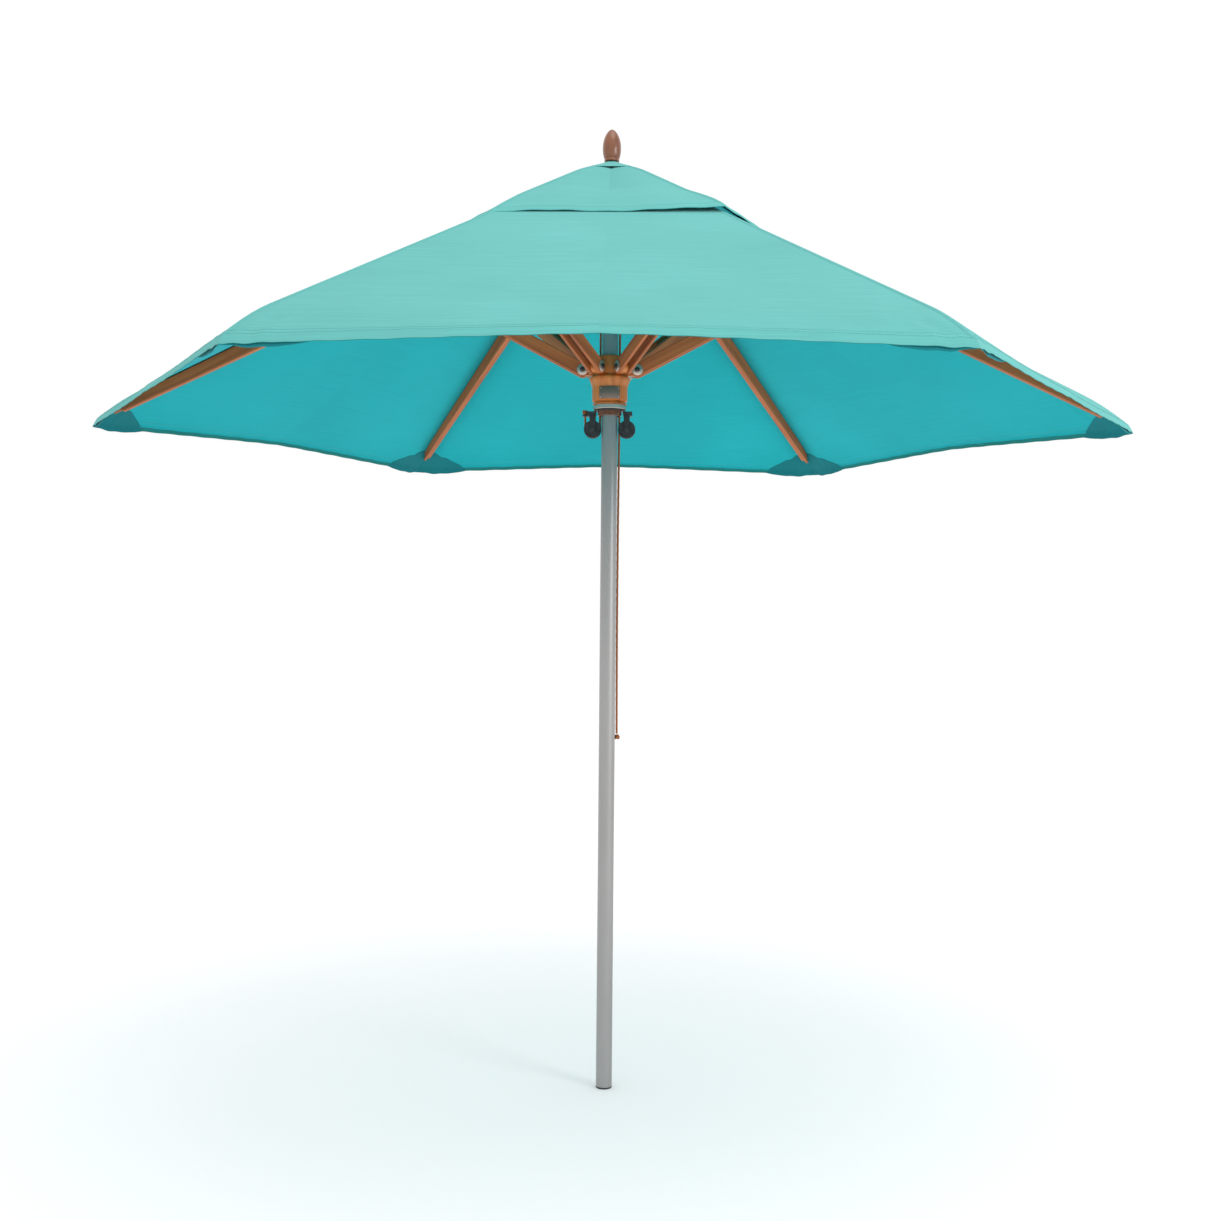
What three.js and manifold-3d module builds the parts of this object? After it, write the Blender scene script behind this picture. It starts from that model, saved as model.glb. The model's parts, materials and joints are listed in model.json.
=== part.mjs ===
// A 2.7 m market umbrella: aluminium pole, wooden ribs and stretchers, a runner with a pulley lift
// and a six-panel canopy with a vent cap. Millimetres, +Z up, origin at the centre of the pole's foot.
import * as THREE from 'three';
import { mergeVertices } from 'three/addons/utils/BufferGeometryUtils.js';
import Module from 'manifold-3d';

const wasm = await Module();
wasm.setup();

// Driving dimensions
const CANOPY_R = 1371.6;      // centre to canopy corner: a 9 ft canopy
const APEX_Z = 2440.5;        // where the canopy's planes would meet on the pole's axis
const SLOPE = 0.4925;         // fall of the canopy's ridges
const VENT_R = 540;           // vent cap, centre to corner
const VENT_OPENING_R = 425;   // hole in the main canopy under the vent cap
const VENT_SLOPE = 0.47;
const VENT_APEX_Z = 2441;
const CROWN_APEX_Z = 2443.5;
const CROWN_R = 100;
const CLOTH = 2;              // thickness of the plain cloth solids
const CORNER_DROP = 33.5;     // how far each corner is drawn down over its rib tip
const CORNER_DROP_FROM = 1300;
const CORNER_DROP_SPAN = 100;
const GAP = 0.3;              // between pieces that touch

const POLE_R = 21;
const POLE_WALL = 2;
const POLE_TOP = 2400;

const FOLD_R = 72;            // radius of the hinges at the top hub and at the runner
const TOP_HINGE_Z = 2385;
const PIVOT_R = 540;          // rib to stretcher pivot
const FOLD_ANGLE = THREE.MathUtils.degToRad(28);
const PIVOT_Z = TOP_HINGE_Z - (PIVOT_R - FOLD_R) * Math.tan(FOLD_ANGLE);
const RUNNER_HINGE_Z = PIVOT_Z - (PIVOT_R - FOLD_R) * Math.tan(FOLD_ANGLE);
const STRETCHER_LENGTH = (PIVOT_R - FOLD_R) / Math.cos(FOLD_ANGLE);

const RIB_THICK = 18;
const RIB_TIP_R = 1294;
const RIB_BELOW_CLOTH = 5;
const CHEEK_THICK = 9;
const CHEEK_INNER = RIB_THICK / 2 + 0.5;
const STRETCHER_HALF = 17;
const PIN_R = 4;
const PIN_HOLE_R = 4.4;
const RING_WIRE_R = 2.5;
const SPOKES = 6;
const SIXTH = Math.PI / 3;

const SHEAVE_X = 45;
const SHEAVE_Y = 14;
const SHEAVE_Z = 1734;
const SHEAVE_R = 23;
const SHEAVE_HALF = 10;
const ROPE_R = 3;
const ROPE_WRAP_R = 19.5;
const ROPE_X = SHEAVE_X - ROPE_WRAP_R;
const WRAP_SHIFT = 3.4;       // the two passes of the wrapped rope lie this far each side of the middle
const TAIL_END_Z = 930;

const finish = (color, roughness, metalness = 0) =>
  new THREE.MeshStandardMaterial({ color, roughness, metalness });
const materials = {
  aluminium: finish(0xb4b6b8, 0.35, 0.9),
  steel: finish(0xc9c9cc, 0.3, 1),
  wood: finish(0xb56a2c, 0.5),
  hubWood: finish(0xc08428, 0.45),
  finialWood: finish(0x6b2f1c, 0.3),
  cloth: finish(0x6cc8bf, 0.95),
  nylon: finish(0x26262a, 0.45),
  rope: finish(0xb9623a, 0.9),
  label: finish(0x9a989a, 0.5),
};

// Turns an inside-out closed geometry the right way round.
function facingOut(geometry) {
  const position = geometry.getAttribute('position');
  const index = geometry.getIndex().array;
  const [a, b, c] = [new THREE.Vector3(), new THREE.Vector3(), new THREE.Vector3()];
  let volume = 0;
  for (let i = 0; i < index.length; i += 3) {
    a.fromBufferAttribute(position, index[i]);
    b.fromBufferAttribute(position, index[i + 1]);
    c.fromBufferAttribute(position, index[i + 2]);
    volume += a.dot(b.cross(c));
  }
  if (volume < 0) {
    for (let i = 0; i < index.length; i += 3) {
      [index[i + 1], index[i + 2]] = [index[i + 2], index[i + 1]];
    }
  }
  return geometry;
}

// Merges shared vertices, so that a geometry is one closed body.
function closed(geometry) {
  geometry.deleteAttribute('normal');
  geometry.deleteAttribute('uv');
  return facingOut(mergeVertices(geometry, 1e-3));
}

function solid(geometry) {
  const merged = closed(geometry);
  return new wasm.Manifold(new wasm.Mesh({
    numProp: 3,
    vertProperties: new Float32Array(merged.getAttribute('position').array),
    triVerts: new Uint32Array(merged.getIndex().array),
  }));
}

function geometryOf(manifold) {
  const mesh = manifold.getMesh();
  const geometry = new THREE.BufferGeometry();
  geometry.setAttribute('position', new THREE.BufferAttribute(mesh.vertProperties, 3));
  geometry.setIndex(new THREE.BufferAttribute(mesh.triVerts, 1));
  return geometry;
}

const union = (...parts) => parts.reduce((whole, part) => whole.add(part));
const cut = (body, ...tools) => tools.reduce((whole, tool) => whole.subtract(tool), body);

// Points on an arc, as [x, y] pairs; angles in degrees.
function arc(x, y, radius, from, to, steps) {
  const points = [];
  for (let i = 0; i <= steps; i += 1) {
    const angle = THREE.MathUtils.degToRad(from + (to - from) * i / steps);
    points.push([x + radius * Math.cos(angle), y + radius * Math.sin(angle)]);
  }
  return points;
}

const circle = (x, y, radius, sides) => arc(x, y, radius, 0, 360 * (sides - 1) / sides, sides - 1);
const toVectors = (points) => points.map(([x, y]) => new THREE.Vector2(x, y));

// A revolved body about Z. The profile is a closed loop, or starts and ends on the axis.
function turned(profile, sides = 32, start = 0) {
  const onAxis = profile[0][0] === 0;
  const loop = onAxis ? profile : [...profile, profile[0]];
  const geometry = new THREE.LatheGeometry(toVectors(loop), sides, start);
  return geometry.rotateX(Math.PI / 2);
}

const tube = (inner, outer, low, high, sides = 32) =>
  turned([[inner, low], [outer, low], [outer, high], [inner, high]], sides);
const rod = (radius, low, high, sides = 16) =>
  turned([[0, low], [radius, low], [radius, high], [0, high]], sides);

// A flat outline in the radial plane (x outwards, z up), with thickness across it.
function plate(outline, thickness, holes = []) {
  const shape = new THREE.Shape(toVectors(outline));
  shape.holes = holes.map((hole) => new THREE.Path(toVectors(hole)));
  const geometry = new THREE.ExtrudeGeometry(shape, { depth: thickness, bevelEnabled: false });
  return geometry.translate(0, 0, -thickness / 2).rotateX(Math.PI / 2);
}

function block(x0, x1, y0, y1, z0, z1) {
  const geometry = new THREE.BoxGeometry(x1 - x0, y1 - y0, z1 - z0);
  return geometry.translate((x0 + x1) / 2, (y0 + y1) / 2, (z0 + z1) / 2);
}

// A rod lying across the radial plane at (x, z).
const crossRod = (radius, x, z, half, sides = 12) =>
  rod(radius, -half, half, sides).rotateX(Math.PI / 2).translate(x, 0, z);

// A thin closed sheet through a grid of points, with its thickness straight down.
function sheet(rows, thickness) {
  const across = rows[0].length;
  const count = rows.length * across;
  const corners = [];
  for (const drop of [0, thickness]) {
    for (const row of rows) {
      for (const [x, y, z] of row) corners.push(x, y, z - drop);
    }
  }
  const index = [];
  const quad = (a, b, c, d) => index.push(a, b, c, a, c, d);
  const at = (i, j, side) => side * count + i * across + j;
  for (let i = 0; i + 1 < rows.length; i += 1) {
    for (let j = 0; j + 1 < across; j += 1) {
      quad(at(i, j, 0), at(i + 1, j, 0), at(i + 1, j + 1, 0), at(i, j + 1, 0));
      quad(at(i, j, 1), at(i, j + 1, 1), at(i + 1, j + 1, 1), at(i + 1, j, 1));
    }
  }
  const last = rows.length - 1;
  for (let j = 0; j + 1 < across; j += 1) {
    quad(at(0, j, 0), at(0, j + 1, 0), at(0, j + 1, 1), at(0, j, 1));
    quad(at(last, j + 1, 0), at(last, j, 0), at(last, j, 1), at(last, j + 1, 1));
  }
  for (let i = 0; i < last; i += 1) {
    quad(at(i + 1, 0, 0), at(i, 0, 0), at(i, 0, 1), at(i + 1, 0, 1));
    quad(at(i, across - 1, 0), at(i + 1, across - 1, 0), at(i + 1, across - 1, 1), at(i, across - 1, 1));
  }
  const geometry = new THREE.BufferGeometry();
  geometry.setAttribute('position', new THREE.Float32BufferAttribute(corners, 3));
  geometry.setIndex(index);
  return facingOut(geometry);
}

// A curve that steps evenly from one listed point to the next, however far apart they lie.
class Route extends THREE.CatmullRomCurve3 {
  getPointAt(t) { return this.getPoint(t); }

  getTangentAt(t) { return this.getTangent(t); }

  getSpacedPoints(steps) { return this.getPoints(steps); }
}

function ropeAlong(points) {
  const route = new Route(points.map((point) => new THREE.Vector3(...point)), false, 'centripetal');
  const section = new THREE.Shape(toVectors(circle(0, 0, ROPE_R, 8)));
  return new THREE.ExtrudeGeometry(section, { extrudePath: route, steps: points.length - 1 });
}

const umbrella = new THREE.Group();

function add(name, geometry, material, parent = umbrella) {
  const mesh = new THREE.Mesh(geometry, material);
  mesh.name = name;
  parent.add(mesh);
  return mesh;
}

const addTurned = (name, profile, material, sides) => add(name, closed(turned(profile, sides)), material);

// Pole, its plugs and the finial

const FOOT_FLANGE = 4;
const FOOT_PLUG_TOP = 60;
const PLUG_R = POLE_R - POLE_WALL - GAP;
const TOP_PLUG_LOW = 2360;
const STUD_R = 4;
const STUD_TOP = 2468;
const STUD_HOLE_R = 4.4;
const STUD_HOLE_TOP = 2470;
const FINIAL_LOW = 2437.5;
const FINIAL_TOP = 2523;

add('pole_tube', closed(tube(POLE_R - POLE_WALL, POLE_R, FOOT_FLANGE + GAP, POLE_TOP)), materials.aluminium);
addTurned('pole_foot_plug', [
  [0, 0], [POLE_R, 0], [POLE_R, FOOT_FLANGE],
  [PLUG_R, FOOT_FLANGE], [PLUG_R, FOOT_PLUG_TOP], [0, FOOT_PLUG_TOP],
], materials.nylon);
add('pole_top_plug', closed(tube(STUD_HOLE_R, PLUG_R, TOP_PLUG_LOW, POLE_TOP)), materials.wood);
add('finial_stud', closed(rod(STUD_R, TOP_PLUG_LOW + 10, STUD_TOP)), materials.steel);
addTurned('finial', [
  [0, STUD_HOLE_TOP], [STUD_HOLE_R, STUD_HOLE_TOP], [STUD_HOLE_R, FINIAL_LOW], [19.5, FINIAL_LOW],
  [20, 2444], [22.5, 2456], [24, 2470], [23.5, 2482], [21, 2494], [16.5, 2506], [10, 2516],
  [4, 2521.5], [0, FINIAL_TOP],
], materials.finialWood);

// Top hub: a slotted wooden disc over the pole's end, with a ring wire that the ribs hinge on

const SLOT_WIDTH = RIB_THICK + 2;
const SLOT_INNER = 50;
const SLOT_OUTER = 90;
const HUB_LOW = 2352;
const HUB_TOP = 2434.5;

function ringWire(radius, sides) {
  return new THREE.TorusGeometry(FOLD_R, radius, sides, 36).translate(0, 0, TOP_HINGE_Z);
}

function topHub() {
  const body = solid(turned([
    [POLE_R + GAP, HUB_LOW], [44, HUB_LOW], [79, 2362], [81, 2368], [81, 2393], [58, 2406],
    [26, 2423], [15, 2427], [13, HUB_TOP], [STUD_HOLE_R, HUB_TOP], [STUD_HOLE_R, POLE_TOP + GAP],
    [POLE_R + GAP, POLE_TOP + GAP],
  ]));
  const slots = [];
  for (let i = 0; i < SPOKES; i += 1) {
    const slot = block(SLOT_INNER, SLOT_OUTER, -SLOT_WIDTH / 2, SLOT_WIDTH / 2, HUB_LOW - 5, APEX_Z);
    slots.push(solid(slot.rotateZ(i * SIXTH)));
  }
  return cut(body, ...slots, solid(ringWire(RING_WIRE_R + GAP + 0.1, 8)));
}

add('top_hub', geometryOf(topHub()), materials.wood);
add('rib_hinge_ring', closed(ringWire(RING_WIRE_R, 8)), materials.steel);

// Ribs, stretchers and their pins, drawn once in the radial plane

const ribTop = (r) => APEX_Z - SLOPE * r - RIB_BELOW_CLOTH;
const HINGE_END_R = 13.4;
const RIB_DEPTH = 50.2;       // measured straight down
const RIB_TIP_DEPTH = 30;
const RIB_HOLLOW_R = 190;     // where the rib reaches its full depth
const NUB_R = 5;
const NUB_LENGTH = 24;
const NUB_ROOT = 15;          // how far the nub runs back into the rib
const NUB_BELOW_TOP = 19;
const SPACER = [230, 320];    // along the stretcher, from its runner end
const SPACER_HEIGHT = [-9, 10];

function rib() {
  const outline = [
    ...arc(FOLD_R, TOP_HINGE_Z, HINGE_END_R, 63.8, 290, 8),
    [RIB_HOLLOW_R, ribTop(RIB_HOLLOW_R) - RIB_DEPTH],
    [PIVOT_R, ribTop(PIVOT_R) - RIB_DEPTH],
    [RIB_TIP_R, ribTop(RIB_TIP_R) - RIB_TIP_DEPTH],
    [RIB_TIP_R, ribTop(RIB_TIP_R)],
  ];
  const bar = plate(outline, RIB_THICK, [
    circle(FOLD_R, TOP_HINGE_Z, RING_WIRE_R + 1.3, 12),
    circle(PIVOT_R, PIVOT_Z, PIN_HOLE_R, 12),
  ]);
  const nub = rod(NUB_R, -NUB_ROOT, NUB_LENGTH, 12).rotateY(Math.PI / 2 + Math.atan(SLOPE));
  nub.translate(RIB_TIP_R, 0, ribTop(RIB_TIP_R) - NUB_BELOW_TOP);
  return union(solid(bar), solid(nub));
}

function stretcher() {
  const bar = [
    ...arc(0, 0, STRETCHER_HALF, 90, 270, 6),
    ...arc(STRETCHER_LENGTH, 0, STRETCHER_HALF, -90, 90, 6),
  ];
  const holes = [circle(0, 0, PIN_HOLE_R, 12), circle(STRETCHER_LENGTH, 0, PIN_HOLE_R, 12)];
  const cheek = () => plate(bar, CHEEK_THICK, holes);
  const offset = CHEEK_INNER + CHEEK_THICK / 2;
  const left = solid(cheek().translate(0, offset, 0));
  const right = solid(cheek().translate(0, -offset, 0));
  const spacer = solid(block(...SPACER, -CHEEK_INNER - 1, CHEEK_INNER + 1, ...SPACER_HEIGHT));
  return union(left, right, spacer);
}

// A bolt with a big washer and a nut at each end, lying across the radial plane.
const WASHER_R = 14.5;
const NUT_R = 6;

function bolt() {
  const washer = CHEEK_INNER + CHEEK_THICK + GAP;
  const nut = washer + 2.5;
  const end = nut + 4;
  const half = [[NUT_R, end], [NUT_R, nut], [WASHER_R, nut], [WASHER_R, washer], [PIN_R, washer]];
  const mirrored = half.map(([r, z]) => [r, -z]).reverse();
  return closed(turned([[0, end], ...half, ...mirrored, [0, -end]], 12).rotateX(Math.PI / 2));
}

const ribGeometry = geometryOf(rib());
const stretcherGeometry = geometryOf(stretcher());
const boltGeometry = bolt();

// Cloth: a half panel runs from its rib's ridge line to the middle of the panel

const EDGE = new THREE.Vector2(-0.5, Math.sqrt(0.75));
const SEAM_GAP = 0.6;         // between the two half panels that meet over a rib
const MIDDLE_GAP = 0.5;       // from a panel's edge to the middle of its side

function cornerDrop(r, along) {
  const outwards = Math.max(0, (r - CORNER_DROP_FROM) / (CANOPY_R - CORNER_DROP_FROM));
  return CORNER_DROP * outwards * Math.max(0, 1 - along / CORNER_DROP_SPAN);
}

function halfPanel(side) {
  const rows = [];
  for (const r of [VENT_OPENING_R, 860, CORNER_DROP_FROM, 1336, CANOPY_R]) {
    const row = [];
    for (const along of [SEAM_GAP, CORNER_DROP_SPAN / 2, CORNER_DROP_SPAN, r / 2 - MIDDLE_GAP]) {
      const z = APEX_Z - SLOPE * r - cornerDrop(r, along);
      row.push([r + EDGE.x * along, side * EDGE.y * along, z]);
    }
    rows.push(row);
  }
  return sheet(rows, CLOTH);
}

function ventPanel() {
  const rows = [];
  for (const r of [CROWN_R - 15, 310, VENT_R]) {
    const row = [];
    const half = r / 2 - MIDDLE_GAP;
    for (const along of [-half, 0, half]) {
      const z = VENT_APEX_Z - VENT_SLOPE * r;
      row.push([r + EDGE.x * Math.abs(along), EDGE.y * along, z]);
    }
    rows.push(row);
  }
  return sheet(rows, CLOTH);
}

for (let i = 0; i < SPOKES; i += 1) {
  const spoke = new THREE.Group();
  spoke.rotation.z = i * SIXTH;
  umbrella.add(spoke);
  add(`rib_${i}`, ribGeometry, materials.wood, spoke);
  const strut = add(`stretcher_${i}`, stretcherGeometry, materials.wood, spoke);
  strut.position.set(FOLD_R, 0, RUNNER_HINGE_Z);
  strut.rotation.y = -FOLD_ANGLE;
  const pin = add(`rib_pin_${i}`, boltGeometry, materials.steel, spoke);
  pin.position.set(PIVOT_R, 0, PIVOT_Z);
  const runnerBolt = add(`runner_bolt_${i}`, boltGeometry, materials.steel, spoke);
  runnerBolt.position.set(FOLD_R, 0, RUNNER_HINGE_Z);
  add(`canopy_${i}a`, halfPanel(1), materials.cloth, spoke);
  add(`canopy_${i}b`, halfPanel(-1), materials.cloth, spoke);
  add(`vent_${i}`, ventPanel(), materials.cloth, spoke);
}

const CROWN_THICK = 1.8;
const CROWN_FLAT_Z = FINIAL_LOW - 0.5;
const CROWN_HOLE_R = 5.3;
const crownZ = (r) => CROWN_APEX_Z - VENT_SLOPE * r;
add('vent_crown', closed(turned([
  [CROWN_HOLE_R, CROWN_FLAT_Z], [18, CROWN_FLAT_Z], [24, crownZ(24)], [CROWN_R, crownZ(CROWN_R)],
  [CROWN_R, crownZ(CROWN_R) - CROWN_THICK], [24, crownZ(24) - CROWN_THICK],
  [17, CROWN_FLAT_Z - CROWN_THICK], [CROWN_HOLE_R, CROWN_FLAT_Z - CROWN_THICK],
], SPOKES, Math.PI / SPOKES)), materials.cloth);

// Runner: a turned wooden hub with six lugs that the stretchers straddle

const BORE_R = 24.5;
const BAND_R = 46.5;
const RUNNER_LOW = 1796.3;
const RUNNER_TOP = 1924;
const ROPE_HOLE_R = 3.9;
const LUG_HALF = 14;
const LUG_ROOT_R = 38;

function ropeHoles(radius, y, low, high) {
  return [-ROPE_X, ROPE_X].map((x) => solid(rod(radius, low, high, 12).translate(x, y, 0)));
}

function runner() {
  const body = solid(turned([
    [BORE_R, RUNNER_LOW], [45, RUNNER_LOW], [45, 1799], [39.5, 1800.5], [39.5, 1803.5],
    [BAND_R, 1806], [BAND_R, 1842], [49, 1850], [54, 1864], [50, 1869], [42, 1874],
    [42, 1919], [38, RUNNER_TOP], [BORE_R, RUNNER_TOP],
  ]));
  const lugs = [];
  for (let i = 0; i < SPOKES; i += 1) {
    const outline = [[LUG_ROOT_R, RUNNER_HINGE_Z + LUG_HALF], [LUG_ROOT_R, RUNNER_HINGE_Z - LUG_HALF],
      ...arc(FOLD_R, RUNNER_HINGE_Z, LUG_HALF, -90, 90, 6)];
    const hole = circle(FOLD_R, RUNNER_HINGE_Z, PIN_HOLE_R, 12);
    lugs.push(solid(plate(outline, RIB_THICK - 1, [hole]).rotateZ(i * SIXTH)));
  }
  return cut(union(body, ...lugs), ...ropeHoles(ROPE_HOLE_R, SHEAVE_Y, RUNNER_LOW - 10, RUNNER_TOP + 10));
}

const COLLAR_LOW = 1784;
const COLLAR_R = 43;
const COLLAR_HOLE_R = 4.2;
const BLOCK_TOP = COLLAR_LOW - GAP;
const LABEL_LOW = 1807;
const LABEL_HEIGHT = 34;
const LABEL_HALF_ANGLE = 35;

add('runner', geometryOf(runner()), materials.hubWood);
const sleeve = tube(POLE_R + 2 * GAP, BORE_R - GAP, RUNNER_LOW - 8, RUNNER_TOP + 1.5);
add('runner_sleeve', closed(sleeve), materials.nylon);
const collar = solid(tube(BORE_R, COLLAR_R, COLLAR_LOW, RUNNER_LOW - GAP));
const collarHoles = ropeHoles(COLLAR_HOLE_R, SHEAVE_Y, COLLAR_LOW - 5, RUNNER_LOW);
add('runner_collar', geometryOf(cut(collar, ...collarHoles)), materials.steel);

const [labelFrom, labelTo] = [-90 - LABEL_HALF_ANGLE, -90 + LABEL_HALF_ANGLE];
const labelOutline = [
  ...arc(0, 0, BAND_R + 1.8, labelFrom, labelTo, 12),
  ...arc(0, 0, BAND_R + GAP, labelTo, labelFrom, 12),
];
const labelShape = new THREE.Shape(toVectors(labelOutline));
const label = new THREE.ExtrudeGeometry(labelShape, { depth: LABEL_HEIGHT, bevelEnabled: false });
add('label_plate', closed(label.translate(0, 0, LABEL_LOW)), materials.label);

// Pulley block: a ring under the runner with a strap on each side of each sheave

const BLOCK_LOW = 1768;
const BLOCK_R = 41;
const STRAP_TOP = 1776;
const STRAP_HALF = 8;
const STRAP_THICK = 2.6;
const STRAP_GAP = 0.4;
const BRIDGE_Y = [1, 27];
const ANCHOR_X = -SHEAVE_X - ROPE_WRAP_R;
const ANCHOR_HOLE_R = 3.7;
const NOTCH_R = 5.4;

function pulleyBlock() {
  const parts = [solid(tube(BORE_R, BLOCK_R, BLOCK_LOW, BLOCK_TOP))];
  for (const x of [-SHEAVE_X, SHEAVE_X]) {
    for (const side of [-1, 1]) {
      const middle = SHEAVE_Y + side * (SHEAVE_HALF + STRAP_GAP + STRAP_THICK / 2);
      const [near, far] = [middle - STRAP_THICK / 2, middle + STRAP_THICK / 2];
      parts.push(solid(block(x - STRAP_HALF, x + STRAP_HALF, near, far, SHEAVE_Z - 9, STRAP_TOP)));
    }
    const reach = [x, 0.78 * x];
    const [left, right] = [Math.min(...reach) - STRAP_HALF, Math.max(...reach) + STRAP_HALF];
    parts.push(solid(block(left, right, ...BRIDGE_Y, BLOCK_LOW, STRAP_TOP)));
    parts.push(solid(crossRod(PIN_R, x, SHEAVE_Z, SHEAVE_HALF + 5).translate(0, SHEAVE_Y, 0)));
  }
  const ear = solid(block(ANCHOR_X - 7, -50, SHEAVE_Y - STRAP_HALF, SHEAVE_Y + STRAP_HALF, BLOCK_LOW, 1772));
  const [low, high] = [BLOCK_LOW - 8, STRAP_TOP + 14];
  const anchorHole = solid(rod(ANCHOR_HOLE_R, low, high, 12).translate(ANCHOR_X, SHEAVE_Y, 0));
  const notches = ropeHoles(NOTCH_R, SHEAVE_Y - 1.5, low, high);
  return cut(union(...parts, ear), anchorHole, ...notches, solid(rod(BORE_R, low, high, 32)));
}

add('pulley_block', geometryOf(pulleyBlock()), materials.nylon);

const GROOVE_R = 16;
const GROOVE_HALF = 7.6;
const FLANGE = 2;

function sheave(name, x) {
  const profile = [
    [PIN_HOLE_R, -SHEAVE_HALF], [SHEAVE_R, -SHEAVE_HALF], [SHEAVE_R, -SHEAVE_HALF + FLANGE],
    [GROOVE_R, -GROOVE_HALF], [GROOVE_R, GROOVE_HALF], [SHEAVE_R, SHEAVE_HALF - FLANGE],
    [SHEAVE_R, SHEAVE_HALF], [PIN_HOLE_R, SHEAVE_HALF],
  ];
  const wheel = add(name, closed(turned(profile, 24).rotateX(Math.PI / 2)), materials.nylon);
  wheel.position.set(x, SHEAVE_Y, SHEAVE_Z);
}

sheave('sheave_left', -SHEAVE_X);
sheave('sheave_right', SHEAVE_X);

// Lift rope: tied off at the block's left, round the left sheave, up behind the pole's top, down
// again and once round the right sheave. Its tail hangs from there.

const ROPE_LOOP_Z = 2340;
const FALLS = [1760, 1900, 2050, 2200, ROPE_LOOP_Z - 30];
const WRAP_STEPS = 16;
const ANCHOR_KNOT_R = 6.5;

function liftRoute() {
  const points = [[ANCHOR_X, SHEAVE_Y, 1774], [ANCHOR_X, SHEAVE_Y, SHEAVE_Z + 20]];
  for (const [x, z] of arc(-SHEAVE_X, SHEAVE_Z, ROPE_WRAP_R, 180, 360, 8)) points.push([x, SHEAVE_Y, z]);
  for (const z of FALLS) points.push([-ROPE_X, SHEAVE_Y, z]);
  const loopR = Math.hypot(ROPE_X, SHEAVE_Y);
  const start = THREE.MathUtils.radToDeg(Math.atan2(SHEAVE_Y, ROPE_X));
  for (const [x, y] of arc(0, 0, loopR, 180 - start, start, 8)) points.push([x, y, ROPE_LOOP_Z]);
  for (const z of FALLS.slice(1).reverse()) points.push([ROPE_X, SHEAVE_Y, z]);
  points.push([ROPE_X, SHEAVE_Y, 1800], [ROPE_X, SHEAVE_Y - WRAP_SHIFT, SHEAVE_Z + 22]);
  const wrap = arc(SHEAVE_X, SHEAVE_Z, ROPE_WRAP_R, 180, 540, WRAP_STEPS);
  wrap.forEach(([x, z], i) => points.push([x, SHEAVE_Y + WRAP_SHIFT * (2 * i / WRAP_STEPS - 1), z]));
  points.push([ROPE_X, SHEAVE_Y + WRAP_SHIFT, SHEAVE_Z - 8]);
  return points;
}

const anchorKnot = new THREE.SphereGeometry(ANCHOR_KNOT_R, 10, 6);
anchorKnot.translate(ANCHOR_X, SHEAVE_Y, 1779);
const liftRope = union(solid(ropeAlong(liftRoute())), solid(anchorKnot));
add('lift_rope_upper', geometryOf(liftRope), materials.rope);

const TAIL_TOP_Z = SHEAVE_Z - 8 - GAP;
const TAIL_Y = SHEAVE_Y + WRAP_SHIFT;
const TAIL_STEPS = 16;
const TAIL_WAVE = [1.5, 2];   // how far the hanging tail wanders across and back
const KNOT_R = 8;

const tailRoute = [];
for (let i = 0; i <= TAIL_STEPS; i += 1) {
  const down = i / TAIL_STEPS;
  const x = ROPE_X - TAIL_WAVE[0] * Math.sin(Math.PI * down);
  const y = TAIL_Y + TAIL_WAVE[1] * Math.sin(2 * Math.PI * down);
  tailRoute.push([x, y, TAIL_TOP_Z + (TAIL_END_Z - TAIL_TOP_Z) * down]);
}
add('rope_tail', closed(ropeAlong(tailRoute)), materials.rope);
const endKnot = new THREE.SphereGeometry(KNOT_R, 10, 8);
add('rope_knot', closed(endKnot.translate(ROPE_X, TAIL_Y, TAIL_END_Z - KNOT_R - GAP)), materials.rope);

export default umbrella;
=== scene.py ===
# %% [markdown]
# # A market umbrella in wood, aluminium and woven cloth
# The CAD frame gives every joint, size and moving body. This lesson dresses it: a smooth pole, oiled
# wooden ribs, a turned runner with its pulley, a lift rope and a stitched canopy. Everything is in
# metres, with +Z up the pole and the pole's foot at the origin.

# %% Load the frame
import json
import bpy
import bmesh
from math import atan, atan2, cos, degrees, exp, hypot, pi, radians, sin, sqrt
from mathutils import Matrix, Vector


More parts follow.
